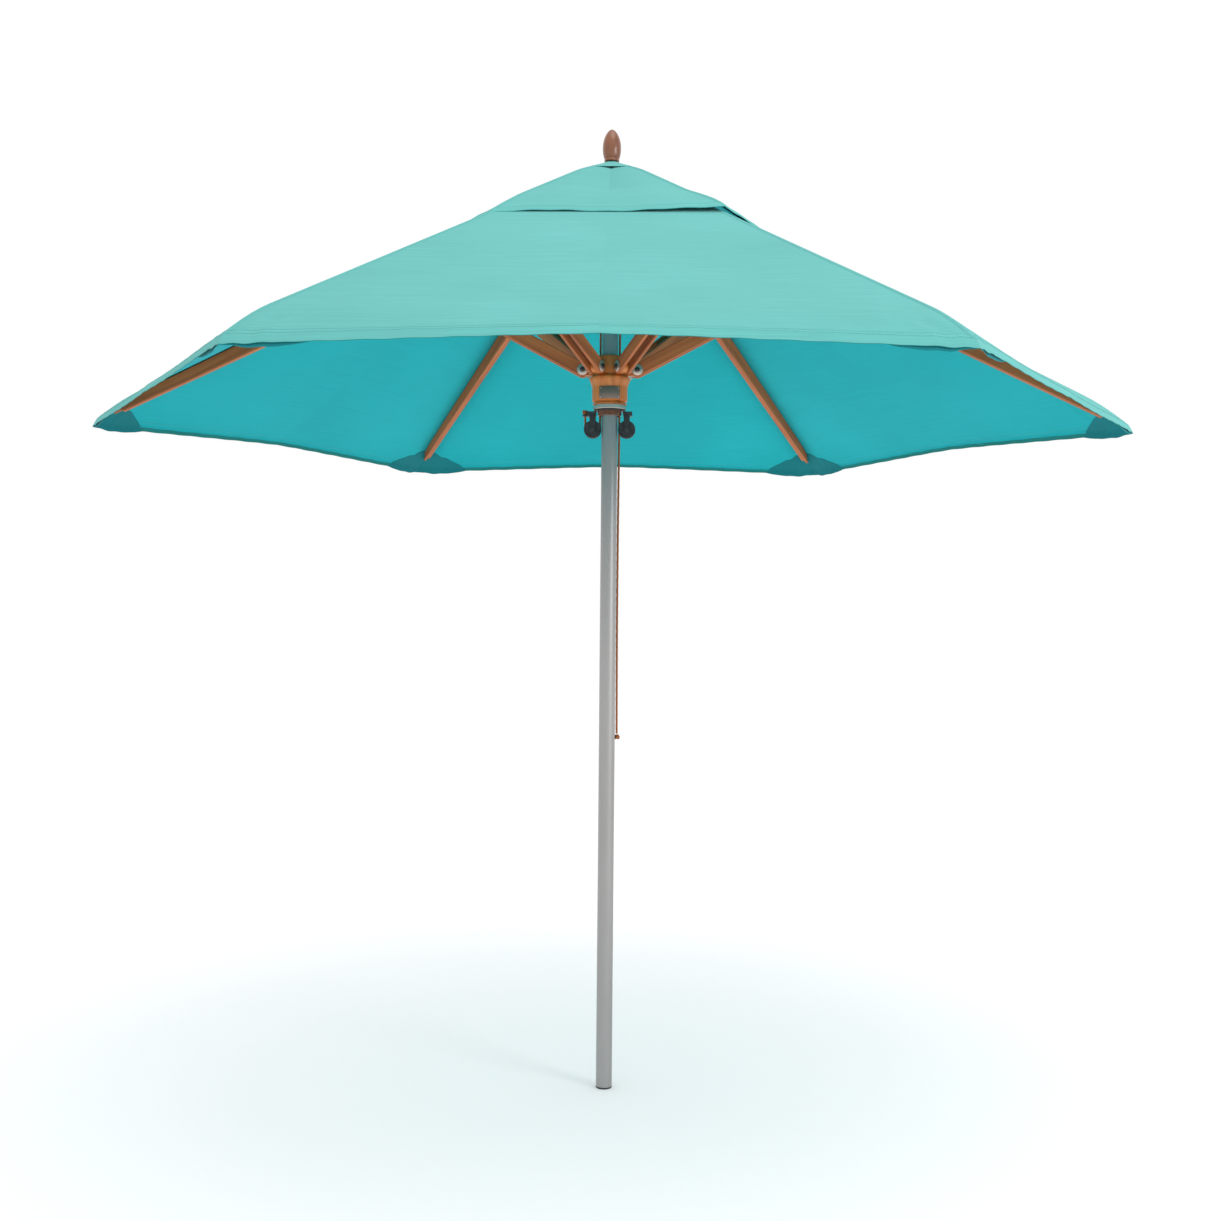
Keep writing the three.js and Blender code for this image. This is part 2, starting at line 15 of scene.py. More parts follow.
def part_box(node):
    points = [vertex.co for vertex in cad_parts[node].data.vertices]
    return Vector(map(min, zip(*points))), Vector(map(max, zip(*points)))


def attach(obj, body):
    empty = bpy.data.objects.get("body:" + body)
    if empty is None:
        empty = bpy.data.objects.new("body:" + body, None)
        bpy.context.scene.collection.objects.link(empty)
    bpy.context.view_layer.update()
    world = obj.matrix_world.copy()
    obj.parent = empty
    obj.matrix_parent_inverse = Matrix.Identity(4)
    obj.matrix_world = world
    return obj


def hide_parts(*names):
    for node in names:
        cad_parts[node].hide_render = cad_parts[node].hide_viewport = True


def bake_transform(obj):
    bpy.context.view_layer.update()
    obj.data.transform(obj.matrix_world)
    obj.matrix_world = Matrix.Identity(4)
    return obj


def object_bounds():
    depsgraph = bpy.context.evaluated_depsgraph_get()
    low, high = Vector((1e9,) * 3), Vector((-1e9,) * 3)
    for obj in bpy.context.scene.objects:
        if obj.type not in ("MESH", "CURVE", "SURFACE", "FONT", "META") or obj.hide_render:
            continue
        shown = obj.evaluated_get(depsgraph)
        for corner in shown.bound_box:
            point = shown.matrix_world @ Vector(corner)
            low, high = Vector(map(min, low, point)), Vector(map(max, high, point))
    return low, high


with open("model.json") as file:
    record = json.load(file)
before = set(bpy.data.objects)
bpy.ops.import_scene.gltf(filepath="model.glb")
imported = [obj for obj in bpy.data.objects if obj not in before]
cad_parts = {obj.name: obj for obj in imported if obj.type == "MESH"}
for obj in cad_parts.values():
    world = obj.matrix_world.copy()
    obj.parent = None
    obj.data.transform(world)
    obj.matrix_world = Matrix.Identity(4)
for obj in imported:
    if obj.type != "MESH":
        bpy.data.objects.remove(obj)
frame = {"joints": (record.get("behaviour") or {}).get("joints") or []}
CAD_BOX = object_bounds()
JOINT_AT = {joint["name"]: Vector(joint["pos_m"]) for joint in frame["joints"] if "pos_m" in joint}
print("box", [list(corner) for corner in CAD_BOX])


def placed(name, data):
    """A new object in the scene that shows the data."""
    piece = bpy.data.objects.new(name, data)
    bpy.context.collection.objects.link(piece)
    return piece


def span(node):
    """The lowest and highest point of a CAD node."""
    low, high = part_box(node)
    return low[2], high[2]

# %% [markdown]
# ## The camera
# The camera comes first, because a free rope may not spread far outside its view. It stands at a
# seated person's eye height and a little right of the pole, so the underside of the far panels shows
# below the front hem. A long way off with a normal lens keeps the rim gently curved.

# %% Camera
LENS_MM = 41.87
camera_data = bpy.data.cameras.new("view_camera")
camera_data.lens = LENS_MM
camera_data.sensor_width = 36
camera = placed("view_camera", camera_data)
EYE = Vector((0.0718, -3.7414, 1.2558))
TURN = Matrix.Rotation(radians(0.995), 4, "Z") @ Matrix.Rotation(radians(90), 4, "X")
ROLL = Matrix.Rotation(radians(0.5), 4, "Z")
camera.matrix_world = Matrix.Translation(EYE) @ TURN @ ROLL
bpy.context.scene.camera = camera
print("camera at", tuple(EYE))

# %% [markdown]
# ## Sizes read from the frame
# The hinges of the folding frame are joints of the CAD model, so their places are read and not typed
# again. The cloth's few driving sizes follow: its corner radius, the fall of its ridges, and the
# amount that each corner is drawn down over its rib.

# %% Driving sizes
TOP_HINGE = JOINT_AT["canopy_fold"]
RIB_PIVOT = JOINT_AT["stretcher_0_pivot"]
RUNNER_HINGE = JOINT_AT["runner_travel"]
FOLD_R = TOP_HINGE.x
FOLD_ANGLE = atan2(TOP_HINGE.z - RIB_PIVOT.z, RIB_PIVOT.x - FOLD_R)
STRETCHER_LENGTH = hypot(RIB_PIVOT.x - FOLD_R, RIB_PIVOT.z - RUNNER_HINGE.z)
POLE_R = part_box("pole_tube")[1][0]
CANOPY_R = CAD_BOX[1][0]
RIDGE_FALL = 0.4925
APEX_Z = 2.4405
VENT_OPENING_R = 0.425
VENT_R = 0.540
LIFTED_CORNER = 5
CROWN_R = 0.100
SIXTH = pi / 3
SIDES = {"a": 1, "b": -1}
HALVES = [(i, letter) for i in range(6) for letter in SIDES]
print("fold angle", round(degrees(FOLD_ANGLE), 2), "stretcher", round(STRETCHER_LENGTH, 4))


def flat_height(r):
    """The height of a quite flat gore, ridge and middle alike, at corner radius r."""
    return APEX_Z - RIDGE_FALL * r


# %% [markdown]
# ## Materials
# Wood, metal, cloth and rope each get their own node tree. A pattern that must follow a bar or a
# sheet reads an attribute named `local`: the piece's own coordinates before it is turned to its place,
# with the first number running along the grain. Numbers that are the same all over sit on the shader.

# %% A small helper that builds node trees
def new_material(name, **sockets):
    """A Principled material with the given even values, and its shader."""
    material = bpy.data.materials.new(name)
    material.use_nodes = True
    shader = material.node_tree.nodes["Principled BSDF"]
    for socket, value in sockets.items():
        shader.inputs[socket.replace("_", " ")].default_value = value
    return material, shader


class Tree:
    """Short calls for the nodes that these finishes use."""

    def __init__(self, material):
        self.nodes = material.node_tree.nodes
        self.links = material.node_tree.links

    def node(self, kind, inputs=(), **settings):
        made = self.nodes.new(kind)
        for key, value in settings.items():
            setattr(made, key, value)
        for key, value in dict(inputs).items():
            if isinstance(value, bpy.types.NodeSocket):
                self.links.new(value, made.inputs[key])
            else:
                made.inputs[key].default_value = value
        return made

    def local(self, scale):
        at = self.node("ShaderNodeAttribute", attribute_name="local")
        return self.node("ShaderNodeMapping", {"Vector": at.outputs["Vector"], "Scale": scale}).outputs[0]

    def noise(self, vector, scale, detail=4.0, distortion=0.0):
        return self.node("ShaderNodeTexNoise", {"Vector": vector, "Scale": scale, "Detail": detail,
                                                "Distortion": distortion}).outputs["Fac"]

    def wave(self, vector, scale, distortion=0.0, direction="X"):
        return self.node("ShaderNodeTexWave", {"Vector": vector, "Scale": scale, "Distortion": distortion},
                         wave_type="BANDS", bands_direction=direction).outputs["Fac"]

    def ramp(self, value, stops):
        ramp = self.node("ShaderNodeValToRGB", {"Fac": value})
        elements = ramp.color_ramp.elements
        while len(elements) < len(stops):
            elements.new(0.5)
        for element, (place, colour) in zip(elements, stops):
            element.position = place
            element.color = (*colour, 1)
        return ramp.outputs["Color"]

    def math(self, operation, a, b):
        return self.node("ShaderNodeMath", {0: a, 1: b}, operation=operation).outputs[0]

    def mix(self, *shares):
        """The sum of (value, weight) pairs."""
        parts = [self.math("MULTIPLY", value, weight) for value, weight in shares]
        total = parts[0]
        for part in parts[1:]:
            total = self.math("ADD", total, part)
        return total

    def bump(self, height, strength, distance):
        return self.node("ShaderNodeBump", {"Height": height, "Strength": strength,
                                            "Distance": distance}).outputs["Normal"]

    def into(self, shader, **sockets):
        for name, value in sockets.items():
            self.links.new(value, shader.inputs[name.replace("_", " ")])


# %% Finishes: wood
def wood(name, dark, mid, light, roughness, coat):
    """Long grain lines and finer pores, stretched along the first local axis."""
    material, shader = new_material(name, Coat_Weight=coat)
    tree = Tree(material)
    along = tree.local((1.6, 26, 26))
    figure = tree.noise(along, 1.6, 5, 0.6)
    pores = tree.noise(tree.local((9, 330, 330)), 1.0, 3)
    rings = tree.noise(tree.local((2.5, 110, 110)), 1.0, 2, 0.4)
    mixed = tree.mix((figure, 0.50), (rings, 0.30), (pores, 0.20))
    tree.into(shader, Base_Color=tree.ramp(mixed, [(0.34, dark), (0.50, mid), (0.68, light)]),
              Roughness=tree.math("ADD", tree.math("MULTIPLY", pores, 0.25), roughness - 0.1),
              Normal=tree.bump(pores, 0.25, 0.0006))
    return material


RIB_WOOD = wood("oiled_rib_wood", (0.25, 0.064, 0.016), (0.43, 0.118, 0.030), (0.58, 0.19, 0.055), 0.55, 0.0)
RUNNER_WOOD = wood("varnished_runner_wood", (0.34, 0.086, 0.011), (0.57, 0.158, 0.024), (0.71, 0.25, 0.056),
                   0.45, 0.1)
FINIAL_WOOD = wood("dark_finial_wood", (0.065, 0.014, 0.004), (0.17, 0.045, 0.013), (0.26, 0.085, 0.026),
                   0.34, 0.5)
print("three woods")


# %% Finishes: metal and nylon
def metal(name, colour, roughness, streaks, metallic=1.0):
    """Drawn or turned metal: very long fine streaks in its roughness and height."""
    material, shader = new_material(name, Metallic=metallic)
    tree = Tree(material)
    fine = tree.noise(tree.local(streaks), 1.0, 4)
    broad = tree.noise(tree.local((1.4, 9, 9)), 1.0, 3)
    shade = [tuple(channel * tone for channel in colour) for tone in (0.86, 1.0)]
    tree.into(shader, Base_Color=tree.ramp(broad, [(0.35, shade[0]), (0.65, shade[1])]),
              Roughness=tree.math("ADD", tree.math("MULTIPLY", fine, 0.16), roughness - 0.08),
              Normal=tree.bump(fine, 0.12, 0.0002))
    return material


def moulded(name, colour, roughness):
    """Moulded nylon with a fine matt grain."""
    material, shader = new_material(name)
    tree = Tree(material)
    grain = tree.noise(tree.local((900, 900, 900)), 1.0, 2)
    scuffs = tree.noise(tree.local((40, 40, 40)), 1.0, 4)
    worn = tuple(min(1.0, channel * 1.9 + 0.01) for channel in colour)
    tree.into(shader, Base_Color=tree.ramp(scuffs, [(0.45, colour), (0.75, worn)]),
              Roughness=tree.math("ADD", tree.math("MULTIPLY", scuffs, 0.3), roughness - 0.12),
              Normal=tree.bump(grain, 0.2, 0.0003))
    return material


ALUMINIUM = metal("drawn_aluminium", (0.38, 0.37, 0.365), 0.40, (3, 1500, 1500), 0.8)
STEEL = metal("turned_steel", (0.66, 0.56, 0.50), 0.42, (500, 500, 500))
DARK_STEEL = metal("dark_steel", (0.10, 0.09, 0.085), 0.42, (500, 500, 500))
LABEL_METAL = metal("blank_label_metal", (0.305, 0.21, 0.175), 0.5, (6, 900, 900))
NYLON = moulded("black_nylon", (0.022, 0.021, 0.024), 0.45)
print("metals and nylon")


# %% Finishes: cloth
def cloth(name, colour, weave=1.0):
    """A plain weave: crossed threads in the height, slubs and soft fading in the colour."""
    material, shader = new_material(name, Roughness=0.9, Specular_IOR_Level=0.08, Sheen_Weight=0.05,
                                    Sheen_Roughness=0.5)
    tree = Tree(material)
    warp = tree.wave(tree.local((1, 1, 1)), 260.0)
    weft = tree.wave(tree.local((1, 1, 1)), 260.0, 0.0, "Y")
    slubs = tree.noise(tree.local((7, 420, 1)), 1.0, 3)
    fade = tree.noise(tree.local((2.2, 2.2, 1)), 1.0, 3)
    tone = tree.mix((slubs, 0.55), (fade, 0.45))
    darker = tuple(channel * 0.88 for channel in colour)
    lighter = tuple(min(1.0, channel * 1.10) for channel in colour)
    height = tree.mix((warp, 0.5), (weft, 0.5), (slubs, 0.8))
    tree.into(shader, Base_Color=tree.ramp(tone, [(0.3, darker), (0.7, lighter)]),
              Normal=tree.bump(height, 0.35 * weave, 0.0005))
    return material


CLOTH_TOP = cloth("canopy_cloth_outside", (0.131, 0.453, 0.430))
# The inside is the cloth's own teal plus painted light: its brighter, more saturated colour stands in for
# daylight shining through the canvas.
CLOTH_UNDER_LIT_THROUGH = cloth("canopy_cloth_inside_painted_glow", (0.0155, 0.415, 0.462))
# A darker copy of the cloth: painted shade for the inside of the turned-down hem and the sheets' edge walls.
CLOTH_HEM_SHADE = cloth("hem_inside_painted_shade", (0.018, 0.22, 0.21))
# The pocket is the same teal cloth, darkened: painted shade of the corner it hangs under.
CLOTH_POCKET_SHADE = cloth("pocket_cloth_painted_shade", (0.013, 0.20, 0.225))
THREAD = cloth("stitch_thread", (0.11, 0.42, 0.40), 0.3)
print("cloths")


# %% Finishes: rope
def rope_finish(name, dark, light):
    """Twisted yarns: the geometry has the strands, and this adds their fibres."""
    material, shader = new_material(name, Roughness=0.85, Specular_IOR_Level=0.2)
    tree = Tree(material)
    fibres = tree.wave(tree.local((180, 7, 1)), 1.0, 1.5, "DIAGONAL")
    fuzz = tree.noise(tree.local((400, 12, 1)), 1.0, 3)
    tone = tree.mix((fibres, 0.5), (fuzz, 0.5))
    tree.into(shader, Base_Color=tree.ramp(tone, [(0.25, dark), (0.75, light)]),
              Normal=tree.bump(tone, 0.5, 0.0004))
    return material


ROPE = rope_finish("lift_rope_fibre", (0.20, 0.055, 0.02), (0.52, 0.19, 0.075))

# %% [markdown]
# ## Mesh helpers
# Most parts are one of three shapes: a turned body, a flat bar cut from an outline, or a thin sheet.
# Each helper writes its own vertices and faces, and keeps the coordinates of the shape before it is
# turned to its place as the `local` attribute that the materials read.

# %% Building and finishing a mesh
def build(name, points, faces, material, local=None, smooth=True):
    """A mesh object from points and faces. material may be a list, with face_slots set by the caller."""
    mesh = bpy.data.meshes.new(name)
    mesh.from_pydata([tuple(point) for point in points], [], faces)
    for each in material if isinstance(material, list) else [material]:
        mesh.materials.append(each)
    keep = mesh.attributes.new("local", "FLOAT_VECTOR", "POINT")
    flat = [number for point in (local or points) for number in point]
    keep.data.foreach_set("vector", flat)
    mesh.polygons.foreach_set("use_smooth", [smooth] * len(mesh.polygons))
    mesh.validate()
    return placed(name, mesh)


def walls(rows, around=True):
    """Faces between neighbouring rows of point numbers; around also joins each row's end to its start."""
    faces = []
    for low, high in zip(rows, rows[1:]):
        for i in range(len(low) if around else len(low) - 1):
            j = (i + 1) % len(low)
            faces.append(list(dict.fromkeys((low[i], low[j], high[j], high[i]))))
    return faces


def face_out(piece):
    """Turns every face of a closed mesh outwards."""
    work = bmesh.new()
    work.from_mesh(piece.data)
    bmesh.ops.recalc_face_normals(work, faces=work.faces)
    work.to_mesh(piece.data)
    work.free()
    return piece


def sharpen(piece, angle=35):
    """Keeps the edges that turn more than angle crisp while the rest is smooth."""
    piece.data.set_sharp_from_angle(angle=radians(angle))
    return piece


def round_edges(piece, width, segments=3):
    modifier = piece.modifiers.new("soft_edges", "BEVEL")
    modifier.width = width
    modifier.segments = segments
    modifier.limit_method = "ANGLE"
    modifier.angle_limit = radians(30)
    return piece


def turned(name, profile, material, sides=72, place=None, closed_loop=False, grain="z"):
    """Revolves a (radius, height) profile about Z; closed_loop joins its last point to its first."""
    place = place or Matrix.Identity(4)
    points, rows = [], []
    angles = [2 * pi * i / sides for i in range(sides)]
    for radius, height in profile:
        if radius < 1e-7:
            rows.append([len(points)] * sides)
            points.append((0, 0, height))
        else:
            rows.append(list(range(len(points), len(points) + sides)))
            points += [(radius * cos(angle), radius * sin(angle), height) for angle in angles]
    faces = walls(rows + rows[:1] if closed_loop else rows)
    local = [(z, x, y) if grain == "z" else (x, y, z) for x, y, z in points]
    piece = build(name, [place @ Vector(point) for point in points], faces, material, local)
    return sharpen(face_out(piece))


def bar(name, outline, thickness, material, place, slope=0.0, seed=0.0, edge=0.003):
    """A bar cut from an (x, z) outline, centred across y, with rounded edges and grain along slope."""
    count = len(outline)
    points = [(x, y, z) for y in (-thickness / 2, thickness / 2) for x, z in outline]
    faces = [list(range(count)), list(range(count, 2 * count))]
    faces += walls(faces)
    local = [(x * cos(slope) - z * sin(slope), y + seed, x * sin(slope) + z * cos(slope)) for x, y, z in points]
    piece = face_out(build(name, [place @ Vector(point) for point in points], faces, material, local, True))
    return round_edges(sharpen(piece), edge)


def arc_points(x, y, radius, start, end, steps):
    """Points on an arc; angles in degrees."""
    angles = [radians(start + (end - start) * i / steps) for i in range(steps + 1)]
    return [(x + radius * cos(angle), y + radius * sin(angle)) for angle in angles]


def applied(piece):
    """A plain mesh of the piece with its modifiers applied."""
    graph = bpy.context.evaluated_depsgraph_get()
    return bpy.data.meshes.new_from_object(piece.evaluated_get(graph))


def joined(name, pieces):
    """Several meshes as one object, with their modifiers applied."""
    work = bmesh.new()
    materials = []
    for piece in pieces:
        mesh = applied(piece)
        start = len(work.faces)
        work.from_mesh(mesh)
        work.faces.ensure_lookup_table()
        for material in mesh.materials:
            if material not in materials:
                materials.append(material)
        for face in work.faces[start:]:
            face.material_index = materials.index(mesh.materials[face.material_index])
    mesh = bpy.data.meshes.new(name)
    work.to_mesh(mesh)
    work.free()
    for material in materials:
        mesh.materials.append(material)
    for piece in pieces:
        bpy.data.objects.remove(piece)
    return placed(name, mesh)


def fit(piece, body, slot, *nodes):
    """Rides the piece on its body and hides the CAD nodes it stands for; slot is not used."""
    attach(piece, body)
    if nodes:
        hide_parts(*nodes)
    return piece


def spoke(i):
    """The turn that takes the radial plane of rib 0 to rib i."""
    return Matrix.Rotation(i * SIXTH, 4, "Z")


# %% [markdown]
# ## The lift rope and its free tail
# A three-strand rope is a tube whose section has three lobes that turn as it runs. It is tied off at
# the block's left, goes round the left sheave, up behind the pole's top, down again and once round
# the right sheave, and its tail hangs free to an end knot.

# %% Rope routes
SHEAVE = JOINT_AT["sheave_right_spin"]
SHEAVE_X, SHEAVE_Y, SHEAVE_Z = SHEAVE
ROPE_R = 0.003
WRAP_R = 0.0195
ROPE_X = SHEAVE_X - WRAP_R
WRAP_SHIFT = 0.0034
ROPE_LOOP_Z = 2.340
ANCHOR_X = -SHEAVE_X - WRAP_R


def lift_route():
    """The points of the rope from its anchor knot to where the tail begins."""
    points = [(ANCHOR_X, SHEAVE_Y, 1.774), (ANCHOR_X, SHEAVE_Y, 1.754)]
    points += [(x, SHEAVE_Y, z) for x, z in arc_points(-SHEAVE_X, SHEAVE_Z, WRAP_R, 180, 360, 24)]
    points += [(-ROPE_X, SHEAVE_Y, z) for z in (1.76, 1.80, 1.90, 2.05, 2.20, ROPE_LOOP_Z - 0.03)]
    start = degrees(atan2(SHEAVE_Y, ROPE_X))
    loop = arc_points(0, 0, hypot(ROPE_X, SHEAVE_Y), 180 - start, start, 20)
    points += [(x, y, ROPE_LOOP_Z) for x, y in loop]
    points += [(ROPE_X, SHEAVE_Y, z) for z in (ROPE_LOOP_Z - 0.03, 2.20, 2.05, 1.90, 1.80)]
    points.append((ROPE_X, SHEAVE_Y - WRAP_SHIFT, 1.756))
    wrap = arc_points(SHEAVE_X, SHEAVE_Z, WRAP_R, 180, 540, 48)
    points += [(x, SHEAVE_Y + WRAP_SHIFT * (2 * i / 48 - 1), z) for i, (x, z) in enumerate(wrap)]
    points.append((ROPE_X, SHEAVE_Y + WRAP_SHIFT, SHEAVE_Z - 0.008))
    return points


TAIL_END_Z, TAIL_TOP_Z = span("rope_tail")
TAIL_STEPS = 60


def tail_route():
    """A nearly straight hanging tail, with the faint wave of a rope that was coiled."""
    points = []
    for i in range(TAIL_STEPS + 1):
        down = i / TAIL_STEPS
        z = TAIL_TOP_Z + (TAIL_END_Z - TAIL_TOP_Z) * down
        x = ROPE_X - 0.0015 * sin(pi * down)
        points.append((x, SHEAVE_Y + WRAP_SHIFT + 0.002 * sin(2 * pi * down), z))
    return points


# %% A laid rope along a route
LAY_LENGTH = 0.024
LOBE = 0.16


def resampled(points, step):
    """The route again, with a point every step."""
    line = [Vector(points[0])]
    for start, end in zip(points, points[1:]):
        start, end = Vector(start), Vector(end)
        pieces = max(1, round((end - start).length / step))
        line += [start.lerp(end, k / pieces) for k in range(1, pieces + 1)]
    return line


def laid_rope(name, points, radius, sides=18, step=0.0035):
    """Three strands twisted round the route, closed at both ends."""
    line = resampled(points, step)
    tangent = (line[1] - line[0]).normalized()
    across = tangent.orthogonal().normalized()
    verts, local, length = [], [], 0.0
    for i, centre in enumerate(line):
        ahead = line[min(i + 1, len(line) - 1)] - line[max(i - 1, 0)]
        turn = tangent.rotation_difference(ahead.normalized())
        tangent, across = ahead.normalized(), (turn @ across).normalized()
        other = tangent.cross(across)
        length += (centre - line[i - 1]).length if i else 0.0
        twist = 2 * pi * length / LAY_LENGTH
        for k in range(sides):
            angle = 2 * pi * k / sides
            lobe = abs(cos(1.5 * (angle - twist / 3)))
            reach = radius * (1 - LOBE + LOBE * lobe)
            verts.append(centre + (across * cos(angle) + other * sin(angle)) * reach)
            local.append((length, angle - twist / 3, 0.0))
    rows = [list(range(start, start + sides)) for start in range(0, len(verts), sides)]
    return face_out(build(name, verts, walls(rows) + [rows[0], rows[-1]], ROPE, local))


def overhand_knot(name, centre, radius, rope):
    """A trefoil of the same rope, pulled tight."""
    points = []
    for i in range(97):
        t = 2 * pi * i / 96 * 0.94
        x = (sin(t) + 2 * sin(2 * t)) / 3
        y = (cos(t) - 2 * cos(2 * t)) / 3
        points.append(centre + Vector((x * radius, y * radius * 0.8, -sin(3 * t) * radius * 0.62)))
    return laid_rope(name, points, rope, 12, 0.0022)


lift_rope = laid_rope("lift_rope", lift_route(), ROPE_R)
anchor_knot = overhand_knot("anchor_knot", Vector((ANCHOR_X, SHEAVE_Y, 1.7790)), 0.0060, 0.0027)
fit(lift_rope, "runner", "lift_rope", "lift_rope_upper")
fit(anchor_knot, "runner", "lift_rope")

tail = laid_rope("rope_tail_laid", tail_route(), ROPE_R)
KNOT_LOW, KNOT_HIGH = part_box("rope_knot")
knot_centre = (Vector(KNOT_LOW) + Vector(KNOT_HIGH)) / 2
knot = overhand_knot("tail_knot", knot_centre, 0.0062, 0.0028)
fit(tail, "runner", "lift_rope", "rope_tail")
fit(knot, "runner", "lift_rope", "rope_knot")

# %% [markdown]
# ## Pole, foot plug and top plug
# The pole is a drawn aluminium tube. It is turned with many sides, so its highlight runs straight
# from end to end, and its foot is closed by a black nylon plug with a small chamfer.

# %% Pole
POLE_LOW, POLE_HIGH = span("pole_tube")
WALL = 0.002
pole = turned("pole", [
    (POLE_R - WALL, POLE_LOW), (POLE_R - 0.0006, POLE_LOW), (POLE_R, POLE_LOW + 0.0006),
    (POLE_R, POLE_HIGH), (POLE_R - WALL, POLE_HIGH)], ALUMINIUM, 96, closed_loop=True)
fit(pole, "root", "pole_aluminium", "pole_tube")
foot = turned("foot_plug", [
    (0, 0), (POLE_R - 0.0012, 0), (POLE_R, 0.0012), (POLE_R, 0.004), (POLE_R - 0.0024, 0.004),
    (POLE_R - 0.0024, 0.058), (POLE_R - 0.005, 0.060), (0, 0.060)], NYLON, 64)
fit(foot, "root", "black_nylon", "pole_foot_plug")
print("pole", POLE_LOW, "to", POLE_HIGH)

# %% [markdown]
# ## Top hub, hinge ring and finial
# The hub is a wooden disc over the pole's end with six slots. The slots are cut with a boolean of
# blocks whose edges are slightly rounded. The finial is a turned acorn in dark varnished wood.

# %% Top hub
def settle(piece, helpers=()):
    """Applies every modifier and removes the helpers."""
    mesh = applied(piece)
    piece.modifiers.clear()
    piece.data = mesh
    for helper in helpers:
        bpy.data.objects.remove(helper)
    return piece


def combined(piece, others, operation):
    """Subtracts the others from the piece, or joins them to it as one skin, and removes them."""
    for other in others:
        modifier = piece.modifiers.new("shape", "BOOLEAN")
        modifier.operation = operation
        modifier.solver = "EXACT"
        modifier.object = other
    return settle(piece, others)


def slab(name, size, centre, material, turn=None):
    """A block; size and centre in metres, then turned about Z."""
    x, y, z = (length / 2 for length in size)
    outline = [(-x, -z), (x, -z), (x, z), (-x, z)]
    place = (turn or Matrix.Identity(4)) @ Matrix.Translation(centre)
    return settle(bar(name, outline, 2 * y, material, place, edge=0.0004))


HUB_LOW = span("top_hub")[0]
hub = turned("top_hub_wood", [
    (POLE_R + 0.0003, HUB_LOW), (0.043, HUB_LOW), (0.045, HUB_LOW + 0.001), (0.079, 2.362),
    (0.081, 2.368), (0.081, 2.392), (0.079, 2.3945), (0.058, 2.406), (0.026, 2.423), (0.015, 2.427),
    (0.013, 2.4345), (0.0044, 2.4345), (0.0044, POLE_HIGH + 0.0003),
    (POLE_R + 0.0003, POLE_HIGH + 0.0003)], RIB_WOOD, 96, closed_loop=True, grain="x")
slots = [slab("slot", (0.044, 0.020, 0.12), (0.072, 0, 2.395), RIB_WOOD, spoke(i)) for i in range(6)]
combined(hub, slots, "DIFFERENCE")
fit(sharpen(hub), "root", "rib_wood", "top_hub", "pole_top_plug")


# %% Hinge ring
WIRE_R = 0.0025
ring_section = arc_points(FOLD_R, TOP_HINGE.z, WIRE_R, 0, 360, 14)[:-1]
hinge_ring = turned("hinge_ring", ring_section, STEEL, 96, closed_loop=True)
fit(hinge_ring, "root", "steel_fittings", "rib_hinge_ring")

# %% Finial
FINIAL_LOW, FINIAL_HIGH = span("finial")
finial_profile = [
    (0, FINIAL_LOW), (0.0185, FINIAL_LOW), (0.0197, FINIAL_LOW + 0.0012), (0.0199, 2.4425),
    (0.0190, 2.4440), (0.0190, 2.4450), (0.0202, 2.4465), (0.0215, 2.4510), (0.0232, 2.4585),
    (0.0240, 2.4680), (0.0241, 2.4760), (0.0234, 2.4850), (0.0218, 2.4935), (0.0194, 2.5010),
    (0.0163, 2.5078), (0.0128, 2.5137), (0.0088, 2.5186), (0.0045, 2.5217), (0, FINIAL_HIGH)]
finial = turned("turned_finial", finial_profile, FINIAL_WOOD, 96)
fit(finial, "root", "finial_wood", "finial", "finial_stud")
print("finial", FINIAL_LOW, "to", FINIAL_HIGH)

# %% [markdown]
# ## Ribs and stretchers
# A rib is a straight bar that deepens to 45 mm and tapers to its tip, where a short peg enters the
# canopy's corner pocket. Each stretcher is a pair of cheeks with a spacer between them, so that it
# can close over the rib. Each is cut from an outline and given rounded edges, as a spindle moulder
# would leave them.

# %% Rib outline
RIB_THICK = 0.018
RIB_TIP_R = 1.294
RIB_DEPTH = 0.0502
RIB_TIP_DEPTH = 0.030
RIDGE_ANGLE = atan(RIDGE_FALL)


def rib_top(r):
    return flat_height(r) - 0.005


rib_outline = arc_points(FOLD_R, TOP_HINGE.z, 0.0134, 63.8, 290, 12) + [
    (0.190, rib_top(0.190) - RIB_DEPTH),
    (RIB_PIVOT.x, rib_top(RIB_PIVOT.x) - RIB_DEPTH),
    (RIB_TIP_R - 0.006, rib_top(RIB_TIP_R) - RIB_TIP_DEPTH + 0.003),
    (RIB_TIP_R, rib_top(RIB_TIP_R) - RIB_TIP_DEPTH + 0.009),
    (RIB_TIP_R, rib_top(RIB_TIP_R) - 0.007),
    (RIB_TIP_R - 0.006, rib_top(RIB_TIP_R - 0.006) - 0.0035),
    (RIB_TIP_R - 0.030, rib_top(RIB_TIP_R - 0.030) - 0.0014),
    (RIB_TIP_R - 0.075, rib_top(RIB_TIP_R - 0.075))]


def tip_peg(i):
    """The peg at the rib's end, a turned pin with a round nose."""
    profile = [(0, -0.012), (0.005, -0.012), (0.005, 0.019), (0.0035, 0.0225), (0, 0.024)]
    lean = Matrix.Rotation(pi / 2 + RIDGE_ANGLE, 4, "Y")
    place = spoke(i) @ Matrix.Translation((RIB_TIP_R, 0, rib_top(RIB_TIP_R) - 0.019)) @ lean
    return turned(f"rib_{i}_peg", profile, RIB_WOOD, 24, place)


for i in range(6):
    rib = bar(f"rib_{i}_wood", rib_outline, RIB_THICK, RIB_WOOD, spoke(i), RIDGE_ANGLE, 1.3 * i)
    fit(rib, f"rib_{i}", "rib_wood", f"rib_{i}")
    fit(tip_peg(i), f"rib_{i}", "rib_wood")
print("six ribs,", len(rib_outline), "points in the outline")

